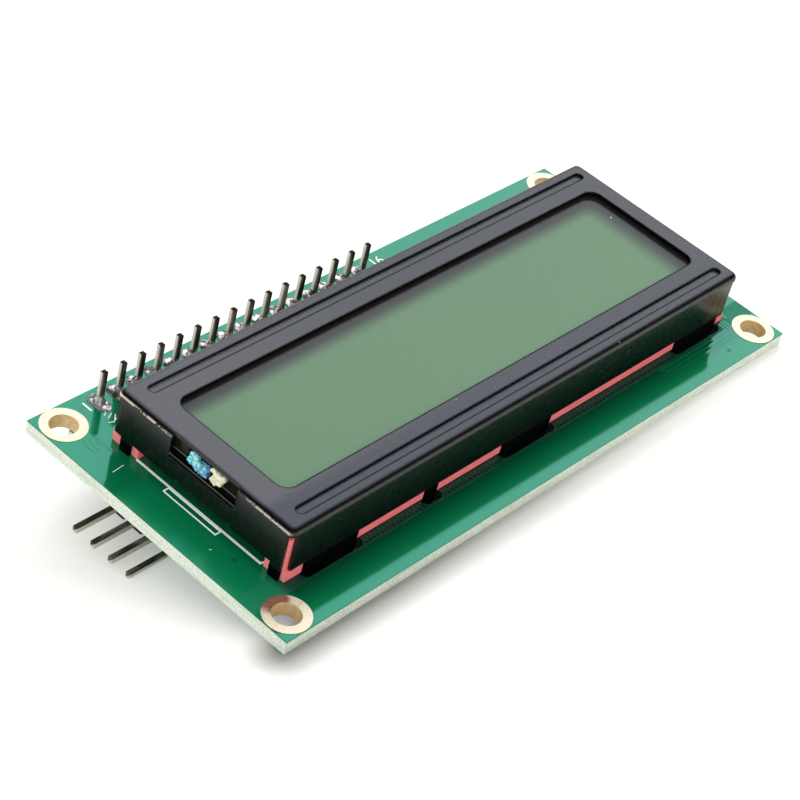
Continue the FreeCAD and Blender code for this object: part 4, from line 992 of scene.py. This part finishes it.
def solder_row(name, places, level, downward, pad, old_node):
    """Joints with their pads, uneven as hand-soldered ones are."""
    s = sizes()
    joint = solder_joint(s.joint_radius, s.joint_height)
    modify(joint, "SUBSURF", levels=1, render_levels=1)
    turns = (0.0, 1.9, 3.4, 0.8, 2.6, 4.4, 5.3)
    joints = copies(joint, [(x, y, 0.03 * MM) for x, y in places], turns)
    lumps(joints, s.lump_size * 1.6, 0.7 * MM)
    lands = disc(LAND_HEIGHT, pad[0] / 2, 28)
    for sign in (1, -1):
        choose(lands, "verts", lambda vert: vert.co.y * sign > 0.0001 * MM)
        shift(0.0, sign * (pad[1] - pad[0]) / 2, 0.0)
    choose(lands, "faces", lambda face: face.normal.z > 0.9)
    for inward, upward in ((0.18, 0.07), (0.3, 0.05)):
        bpy.ops.mesh.inset(thickness=inward * MM, depth=0.0)
        shift(0.0, 0.0, upward * MM)
    lands = copies(lands, [(x, y, 0.0) for x, y in places])
    lumps(lands, 0.05 * MM, 0.6 * MM)
    item = joined((joints, lands))
    if downward:
        item.scale.z = -1.0
        settle(item)
    item.location.z = level
    settle(item)
    tidy_normals(item)
    finished(item, name, "bright solder", 60.0)
    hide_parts(old_node)


def chip_set(name, node, count, along, finish):
    """Small ceramic parts with wrapped metal ends and a foot of solder at each."""
    low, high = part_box(node)
    length = (2.0 * MM, 1.25 * MM)[along]
    places = []
    for number in range(count):
        share = number / (count - 1) if count > 1 else 0.5
        place = [(low.x + high.x) / 2, (low.y + high.y) / 2, high.z]
        place[along] = low[along] + length / 2 + share * (high[along] - low[along] - length)
        places.append(place)
    body = block((-0.62 * MM, 0.62 * MM), (-0.60 * MM, 0.60 * MM), (-0.50 * MM, -0.04 * MM))
    modify(body, "BEVEL", width=0.04 * MM, segments=2)
    body = finished(copies(body, places), name + "_bodies", finish)
    end = block((0.58 * MM, 0.98 * MM), (-0.62 * MM, 0.62 * MM), (-0.55 * MM, 0.0))
    choose(end, "verts", lambda vert: vert.co.x > 0.9 * MM and vert.co.z > -0.1 * MM)
    shift(0.28 * MM, 0.0, 0.0)
    deselect()
    modify(end, "BEVEL", width=0.05 * MM, segments=2)
    modify(end, "MIRROR", use_axis=(True, False, False))
    tidy_normals(end)
    end = finished(copies(end, places), name + "_ends", "bright solder")
    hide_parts(node)


# operators


class MODULE_OT_stage(bpy.types.Operator):
    """Floor, window, room light and camera"""

    bl_idname = "display_module.stage"
    bl_label = "Stage"

    def execute(self, context):
        context.scene.view_settings.view_transform = "Standard"
        self.add_floor(context)
        self.add_window(context)
        self.add_room(context)
        self.add_camera(context)
        return {"FINISHED"}

    def add_floor(self, context):
        """The pale floor on which the board's back edge and the trimmer lie."""
        board_low, board_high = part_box("main_board")
        trimmer_low, trimmer_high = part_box("trimmer_body")
        fall = (board_low.z - trimmer_low.z) / (trimmer_high.y - board_low.y)
        deselect()
        bpy.ops.mesh.primitive_plane_add(size=4.0)
        floor = context.object
        floor.rotation_euler = (-math.atan(fall), 0.0, 0.0)
        floor.location = (0.0, board_low.y, board_low.z)
        settle(floor)
        floor.name = "floor"
        made = Finish("pale floor")
        made.set(Roughness=0.9, Specular_IOR_Level=0.1)
        # close under the board's front edge hardly any light reaches the floor
        p = made.axes(made.place())
        aside = made.most(made.minus(made.absolute(p[0]), board_high.x), 0.0)
        away = made.reach(aside, made.minus(p[1], board_low.y))
        fading = made.span(p[0], -32.0 * MM, 40.0 * MM, 1.0, 0.22)
        shadow_width = 4.7 * MM
        shadow_depth = 0.58
        shadow = made.times(made.fall(away, 0.0, shadow_width), fading)
        # under the board's front openings the floor lies in the dark
        along = made.within(p[0], -33.5 * MM, 36.5 * MM, 0.8 * MM)
        under = made.times(along, made.within(p[1], -14.0 * MM, -8.5 * MM, 0.8 * MM), 0.8)
        open_air = made.minus(1.0, made.most(made.times(shadow, shadow_depth), under), True)
        pale = made.times(made.grain(60.0, 0.74, 0.78), open_air)
        made.set(Base_Color=made.blend(pale, (0.0, 0.0, 0.0), (1.0, 0.995, 0.93)))
        path = made.node("ShaderNodeLightPath")
        seen = made.most(path["Is Camera Ray"], path["Is Transmission Ray"])
        seen = made.times(seen, made.minus(1.0, made.most(shadow, under), True))
        own_light = 0.28
        mirrored_light = 0.12
        level = made.plus(made.times(seen, own_light), made.times(path["Is Glossy Ray"], mirrored_light))
        glow = made.node("ShaderNodeEmission", {"Strength": level})[0]
        both = made.node("ShaderNodeAddShader", {0: made.shader.outputs[0], 1: glow})[0]
        # from below the floor lets everything through
        behind = made.node("ShaderNodeNewGeometry")["Backfacing"]
        clear = made.node("ShaderNodeBsdfTransparent")[0]
        surface = made.node("ShaderNodeMixShader", {0: behind, 1: both, 2: clear})[0]
        made.feed(made.tree.nodes["Material Output"].inputs["Surface"], surface)
        floor.data.materials.append(made.material)

    def add_window(self, context):
        """The large soft window that the top faces mirror."""
        toward = Vector((0.65, 0.42, 0.634)).normalized()
        distance = 0.6
        deselect()
        bpy.ops.object.light_add(type="AREA", location=toward * distance)
        lamp = context.object
        lamp.name = "window"
        lamp.rotation_mode = "QUATERNION"
        lamp.rotation_quaternion = toward.to_track_quat("Z", "Y")
        lamp.data.shape = "SQUARE"
        lamp.data.size = 0.5
        lamp.data.energy = light().window
        lamp.visible_camera = False

    def add_room(self, context):
        world = bpy.data.worlds.new("room")
        context.scene.world = world
        world.use_nodes = True
        made = Tree(world.node_tree)
        ground = world.node_tree.nodes["Background"]
        path = made.node("ShaderNodeLightPath")
        direction = made.axes(made.node("ShaderNodeTexCoord")["Generated"])
        glossy = made.span(direction[2], 0.0, 0.10, 1.0, light().overhead)
        seen = made.most(path["Is Camera Ray"], path["Is Transmission Ray"])
        level = made.plus(seen, made.times(path["Is Glossy Ray"], glossy))
        plain = made.minus(1.0, made.plus(seen, path["Is Glossy Ray"]), True)
        level = made.plus(level, made.times(plain, light().room))
        ground.inputs["Color"].default_value = (1.0, 1.0, 1.0, 1.0)
        made.feed(ground.inputs["Strength"], level)

    def add_camera(self, context):
        deselect()
        bpy.ops.object.camera_add()
        camera = context.object
        right = Vector((0.66465, -0.71787, 0.20713))
        down = Vector((-0.36840, -0.55605, -0.74504))
        ahead = Vector((0.65002, 0.41889, -0.63404))
        place = Vector((-166.027, -104.019, 155.686)) * MM
        turn = Matrix((right, -down, -ahead)).transposed()
        camera.matrix_world = Matrix.Translation(place) @ turn.to_4x4()
        camera.data.lens = 107.78
        camera.data.sensor_width = 36.0
        camera.data.shift_y = 0.0031
        camera.data.clip_start = 0.01
        camera.data.clip_end = 20.0
        context.scene.camera = camera


class MODULE_OT_display_board(bpy.types.Operator):
    """Display board with its plated holes, covered tracks and white print"""

    bl_idname = "display_module.display_board"
    bl_label = "Display board"

    def execute(self, context):
        dress("green board", "main_board")
        dress("plated copper", "mounting_hole_plating")
        s = sizes()
        self.print_face(s)
        self.draw_face(s)
        self.draw_underside(s)
        return {"FINISHED"}

    def print_face(self, s):
        """White lines, strokes and the header's two plain numbers."""
        edge = [[(-34.90, 7.8), (-34.86, -9.3), (-34.2, -9.6)]]
        port = [
            [(-34.9, 7.8), (-34.2, 8.05)],
            [(-35.75, 3.1), (-35.75, -4.1), (-35.05, -4.1), (-35.05, 3.1), (-35.75, 3.1)],
        ]
        strokes = [
            [(-33.3, 14.3), (-32.7, 14.7)],
            [(-33.2, 13.8), (-32.4, 14.2)],
            [(-32.9, 13.2), (-32.2, 13.9)],
            [(-33.6, 13.3), (-33.1, 13.1), (-32.5, 13.4)],
        ]
        scratches = [[(-38.0, 7.8), (-36.5, 7.95)], [(-37.6, -5.2), (-37.4, -5.35)]]
        for name, runs, width, height in (
            ("edge_print", edge, 0.28 * MM, s.print_height),
            ("port_print", port, s.print_width, s.print_height),
            ("small_print", strokes, 0.09 * MM, s.print_height),
            ("board_scratches", scratches, 0.07 * MM, s.print_height * 0.4),
        ):
            drawn_lines(name, runs, width, height, 0.0, "white print")
        number_print("first_pin_number", "1", -34.35, 15.5, 2.0)
        number_print("last_pin_number", "16", 7.9, 15.95, 1.9)

    def draw_face(self, s):
        """Tracks, arcs round a hole and the fingers under the contact strip."""
        tracks = []
        joints = 14.6
        for number in range(PIN_COUNT):
            x = pin_x(number)
            if number % 2 == 0:
                tracks.append([(x, joints), (x, 13.7)] + bend((x, 13.7), (x, 13.1), (x + 0.7, 12.8)))
            else:
                tracks.append([(x, joints), (x, BEHIND_BEZEL)])
        tracks.append([(-33.4, 16.6)] + bend((-33.4, 16.6), (-35.6, 16.4), (-35.9, 14.2)) + [(-36.1, 9.5)])
        for rank in range(3):
            y = -13.9 - 0.55 * rank
            x = 34.7 + 0.45 * rank
            tracks.append([(22.0 + 0.4 * rank, y)] + bend((x - 0.8, y), (x, y), (x, y + 0.8)) + [(x, -12.6)])
        tracks.append([(36.4, -12.6), (36.4, 10.2)])
        drawn_lines("top_tracks", tracks, s.track_width, s.track_height, 0.0, "covered copper")
        arcs = [arc(-35.3, 11.5, radius, 140, 10, 7) for radius in (1.2, 1.8, 2.4)]
        drawn_lines("hole_arcs", arcs, 0.12 * MM, s.track_height, 0.0, "covered copper")
        pitch = 0.56
        fingers = []
        for start, end in ((-24.3, -15.8), (-12.7, -4.0), (5.1, 25.6)):
            for step in range(int((end - start) / pitch) + 1):
                x = start + pitch * step
                fingers.append([(x, -12.5), (x, -13.4)])
        drawn_lines("contact_fingers", fingers, 0.28 * MM, s.track_height, 0.0, "dark finger")

    def draw_underside(self, s):
        """Tracks, vias and print that the board's back carries."""
        low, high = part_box("main_board")
        domes = (-10.0, 19.5)
        dome_row = -5.0
        joints = 14.7
        under = []
        # along the back the board is open from one of these numbers to the next
        openings = ((-33.1, -24.2), (-15.9, -12.6), (-4.1, 5.2))
        for number in range(PIN_COUNT):
            x = pin_x(number)
            drop = 9.8 - 0.62 * abs(number - 7)
            reach = x + (1.6 if number < 8 else -1.2)
            if any(start < x < end for start, end in openings):
                under.append([(x, joints), (x, BEHIND_BEZEL)])
            else:
                under.append([(x, joints), (x, drop + 1.2), (reach, drop), (reach, drop - 2.4)])
        # tracks run out of each dome from a circle to a flatter oval
        circle = 8.0
        oval = (11.5, 10.6)
        right_end = 30.0
        for number in range(14):
            angle = math.pi * (0.12 + 0.055 * number)
            for x in domes:
                start = (x + circle * math.cos(angle), dome_row + circle * math.sin(angle))
                end = (x + oval[0] * math.cos(angle), dome_row + oval[1] * math.sin(angle))
                if end[0] < right_end:
                    under.append([start, end])
        # two sets of short tracks along the front edge
        edge = -16.6
        second = 26.0
        for number in range(12):
            x = -26.0 + 1.1 * number
            under.append([(x, edge), (x, edge + 1.0 + 0.1 * number), (x + 2.0, -13.6)])
            under.append([(x + second, edge), (x + second, edge + 1.0), (x + second - 1.0, -14.2)])
        drawn_lines("under_tracks", under, s.track_width, s.track_height, low.z, "covered copper", True)
        spots = [(-24.0, 6.0), (-3.5, 5.2), (3.4, 2.2), (8.4, 6.4), (24.8, 10.0)]
        spots += [(-26.5, -8.2), (31.5, -11.0), (6.4, -13.9), (-34.6, 4.4)]
        spots += [(12.4, 12.8), (15.0, 12.8), (22.6, 13.4), (-30.4, -2.0)]
        ring_row("under_vias", spots, low.z, -1, s.via_radius, "plated copper")
        tops = [(-36.6, -7.6), (31.96, -16.2), (11.2, 14.2), (16.0, 15.4), (24.6, 15.0), (30.0, 13.6)]
        ring_row("top_vias", tops, high.z, 1, s.via_radius * 0.8, "covered copper")
        outlines = [rectangle(27.4, y - 0.8, 30.6, y + 0.8) for y in (4.0, 5.8, 7.6, 9.4)]
        outlines += [rectangle(x - 1.4, -15.8, x + 1.4, -13.8) for x in (25.4, 29.0)]
        outlines += [arc(x, dome_row, 8.3, 0, 10, 37) for x in domes]
        drawn_lines("under_print", outlines, s.print_width, s.print_height, low.z, "white print", True)


class MODULE_OT_bezel(bpy.types.Operator):
    """Folded steel bezel with its black coating"""

    bl_idname = "display_module.bezel"
    bl_label = "Bezel"

    def execute(self, context):
        dress("black coated steel", "bezel")
        return {"FINISHED"}


class MODULE_OT_cell(bpy.types.Operator):
    """Glass cell, its films, the contact strips and the backlight"""

    bl_idname = "display_module.cell"
    bl_label = "Display cell"

    def execute(self, context):
        dress("front film", "front_polariser")
        dress("cell glass", "front_glass", "rear_glass")
        dress("display field", "rear_polariser")
        dress("cell seal", "perimeter_seal")
        dress("pink silicone", "front_contact_strip", "back_contact_strip")
        dress("tray moulding", "diffuser_film", "backlight_tray")
        dress("clear acrylic", "light_guide")
        dress("green board", "backlight_board")
        dress("amber lens", "backlight_lamps")
        dress("tinned pins", "backlight_leads")
        dress("bright solder", "backlight_solder")
        return {"FINISHED"}


class MODULE_OT_fill_port(bpy.types.Operator):
    """Blue plug and cream bead of resin at the end of the glass"""

    bl_idname = "display_module.fill_port"
    bl_label = "Fill port"

    def execute(self, context):
        # each lump: its place along and up the glass, its width, height and turn
        plug = self.mass(
            (0.98, 5.38, 1.15, 1.45, 14.0),
            (0.30, 4.95, 0.80, 0.90, -20.0),
            (-0.42, 5.00, 1.25, 1.30, -12.0),
        )
        finished(plug, "port_plug_resin", "blue resin", 50.0)
        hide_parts("fill_port_plug")
        bead = self.mass(
            (-2.35, 5.40, 1.35, 1.15, 10.0),
            (-1.62, 5.95, 0.55, 0.35, -25.0),
            (-1.95, 4.85, 0.90, 0.70, 30.0),
            (-2.95, 5.70, 0.60, 0.60, 40.0),
        )
        finished(bead, "port_bead_resin", "cream resin", 50.0)
        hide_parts("seal_bead")
        return {"FINISHED"}

    def mass(self, *parts):
        """Squarish lumps of resin melted into one mass at the end of the glass."""
        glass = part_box("front_glass")[0].x
        items = []
        for along, rise, width, tall, turn in parts:
            deselect()
            spot = Vector((glass - 0.28 * MM, along * MM, rise * MM))
            bpy.ops.mesh.primitive_cube_add(size=1.0, location=spot)
            item = bpy.context.object
            item.scale = Vector((0.66, width, tall)) * MM
            item.rotation_euler = (math.radians(turn), 0.0, 0.0)
            settle(item)
            modify(item, "BEVEL", width=0.12 * MM, segments=2)
            items.append(item)
        item = joined(items)
        modify(item, "REMESH", mode="VOXEL", voxel_size=0.07 * MM)
        modify(item, "SMOOTH", factor=0.5, iterations=1)
        lumps(item, 0.30 * MM, 0.32 * MM)
        modify(item, "SMOOTH", factor=0.5, iterations=1)
        return item


class MODULE_OT_header(bpy.types.Operator):
    """Sixteen-pin header between the boards and its solder"""

    bl_idname = "display_module.header"
    bl_label = "Header"

    def execute(self, context):
        s = sizes()
        dress("header pin plate", "header_pins")
        dress("black moulding", "header_spacer")
        low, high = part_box("header_pins")
        first = low.x + (high.y - low.y) / 2
        row = (low.y + high.y) / 2
        places = [(first + s.pin_pitch * number, row) for number in range(s.header_pins)]
        solder_row("header_joints", places, 0.0, False, (1.7 * MM, 2.9 * MM), "display_solder")
        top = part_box("adapter_solder")[1].z
        solder_row("adapter_joints", places, top, True, (1.8 * MM, 1.8 * MM), "adapter_solder")
        return {"FINISHED"}


class MODULE_OT_under_parts(bpy.types.Operator):
    """Resin domes and small parts under the display board"""

    bl_idname = "display_module.under_parts"
    bl_label = "Parts under the display board"

    def execute(self, context):
        dress("black resin", "driver_blob_left", "driver_blob_right")
        chip_set("display_resistor", "display_resistors", 4, 1, "resistor coat")
        chip_set("display_capacitor", "display_capacitors", 2, 0, "brown ceramic")
        return {"FINISHED"}


class MODULE_OT_adapter(bpy.types.Operator):
    """Adapter board with its chip, headers, trimmer, jumper and small parts"""

    bl_idname = "display_module.adapter"
    bl_label = "Adapter board"

    def execute(self, context):
        dress("black board", "adapter_board")
        dress("black moulding", "side_header_housing", "jumper_housing", "jumper_cap")
        dress("side pin plate", "side_header_pins")
        dress("tinned pins", "jumper_pins", "jumper_clip", "expander_leads", "trimmer_pins")
        dress("bright solder", "side_header_solder", "trimmer_solder", "jumper_solder")
        dress("chip moulding", "expander_chip")
        dress("transistor", "transistor")
        dress("plated copper", "address_links")
        dress("blue moulding", "trimmer_body")
        dress("white rotor", "trimmer_rotor")
        chip_set("adapter_resistor", "adapter_resistors", 5, 0, "resistor coat")
        chip_set("adapter_capacitor", "adapter_capacitors", 2, 1, "brown ceramic")
        chip_set("indicator", "power_indicator", 1, 0, "red lens")
        self.draw_board(sizes())
        return {"FINISHED"}

    def draw_board(self, s):
        """Print, tracks and vias on the side of the board that looks down."""
        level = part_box("adapter_board")[0].z
        frames = [
            rectangle(-26.2, 4.0, -14.8, 12.0),
            rectangle(-9.8, 5.9, -2.2, 13.5),
            rectangle(-30.6, 9.9, -27.8, 13.6),
        ]
        frames += [rectangle(x - 1.3, -0.05, x + 1.3, 1.85) for x in (-26.0, -22.4, -18.8, -15.2, -11.6)]
        frames += [
            rectangle(2.9, 0.7, 5.5, 2.5),
            rectangle(-14.4, 2.1, -8.8, 4.7),
            rectangle(-33.4, 14.4, 6.9, 17.55),
            [(-31.0, 0.4), (-31.0, 9.8)],
            [(3.2, 6.0), (3.2, 10.1)],
        ]
        drawn_lines("adapter_print", frames, s.print_width, s.print_height, level, "white print", True)
        runs = []
        for number in (3, 4, 5, 6, 10, 11, 12, 13):
            x = pin_x(number)
            runs.append([(x, 14.9), (x, 13.9), (x + 0.6, 13.3), (x + 0.6, 12.9)])
        lead_pitch = 1.27
        for number in range(8):
            x = -24.95 + lead_pitch * number
            runs.append([(x, 3.9), (x, 3.0), (x + 0.5, 2.5), (x + 0.5, 2.1)])
            runs.append([(x, 12.5), (x, 13.2), (x + 0.6, 13.8)])
        for number in range(4):
            y = 1.24 + PIN_PITCH * number
            runs.append([(-30.6, y), (-28.6, y), (-27.8, y + 0.8), (-27.8, y + 1.4)])
        finish = "covered adapter copper"
        drawn_lines("adapter_tracks", runs, s.track_width, s.track_height, level, finish, True)
        spots = [(-28.4, 3.0), (-12.8, 7.6), (-12.8, 10.0), (-1.2, 6.0)]
        spots += [(1.4, 11.6), (-27.4, 6.4), (-9.0, 14.0)]
        ring_row("adapter_vias", spots, level, -1, s.via_radius, "plated copper")


class MODULE_PT_panel(bpy.types.Panel):
    """Lists the pieces of the display module"""

    bl_idname = "MODULE_PT_panel"
    bl_label = "Display module"
    bl_space_type = "VIEW_3D"
    bl_region_type = "UI"
    bl_category = "Display module"

    def draw(self, context):
        layout = self.layout
        for maker in MAKERS:
            layout.operator(maker.bl_idname)
        for settings in (sizes(), colours(), light()):
            box = layout.box()
            for name in settings.__annotations__:
                box.prop(settings, name)


MAKERS = (
    MODULE_OT_stage,
    MODULE_OT_display_board,
    MODULE_OT_bezel,
    MODULE_OT_cell,
    MODULE_OT_fill_port,
    MODULE_OT_header,
    MODULE_OT_under_parts,
    MODULE_OT_adapter,
)
SETTINGS = (ModuleSizes, ModuleColours, ModuleLight)


def register():
    for item in SETTINGS + MAKERS + (MODULE_PT_panel,):
        bpy.utils.register_class(item)
    bpy.types.Scene.display_module_sizes = PointerProperty(type=ModuleSizes)
    bpy.types.Scene.display_module_colours = PointerProperty(type=ModuleColours)
    bpy.types.Scene.display_module_light = PointerProperty(type=ModuleLight)


def unregister():
    del bpy.types.Scene.display_module_light
    del bpy.types.Scene.display_module_colours
    del bpy.types.Scene.display_module_sizes
    for item in reversed(SETTINGS + MAKERS + (MODULE_PT_panel,)):
        bpy.utils.unregister_class(item)


def main():
    register()
    bpy.ops.display_module.stage()
    bpy.ops.display_module.display_board()
    bpy.ops.display_module.bezel()
    bpy.ops.display_module.cell()
    bpy.ops.display_module.fill_port()
    bpy.ops.display_module.header()
    bpy.ops.display_module.under_parts()
    bpy.ops.display_module.adapter()


if __name__ == "__main__":
    main()
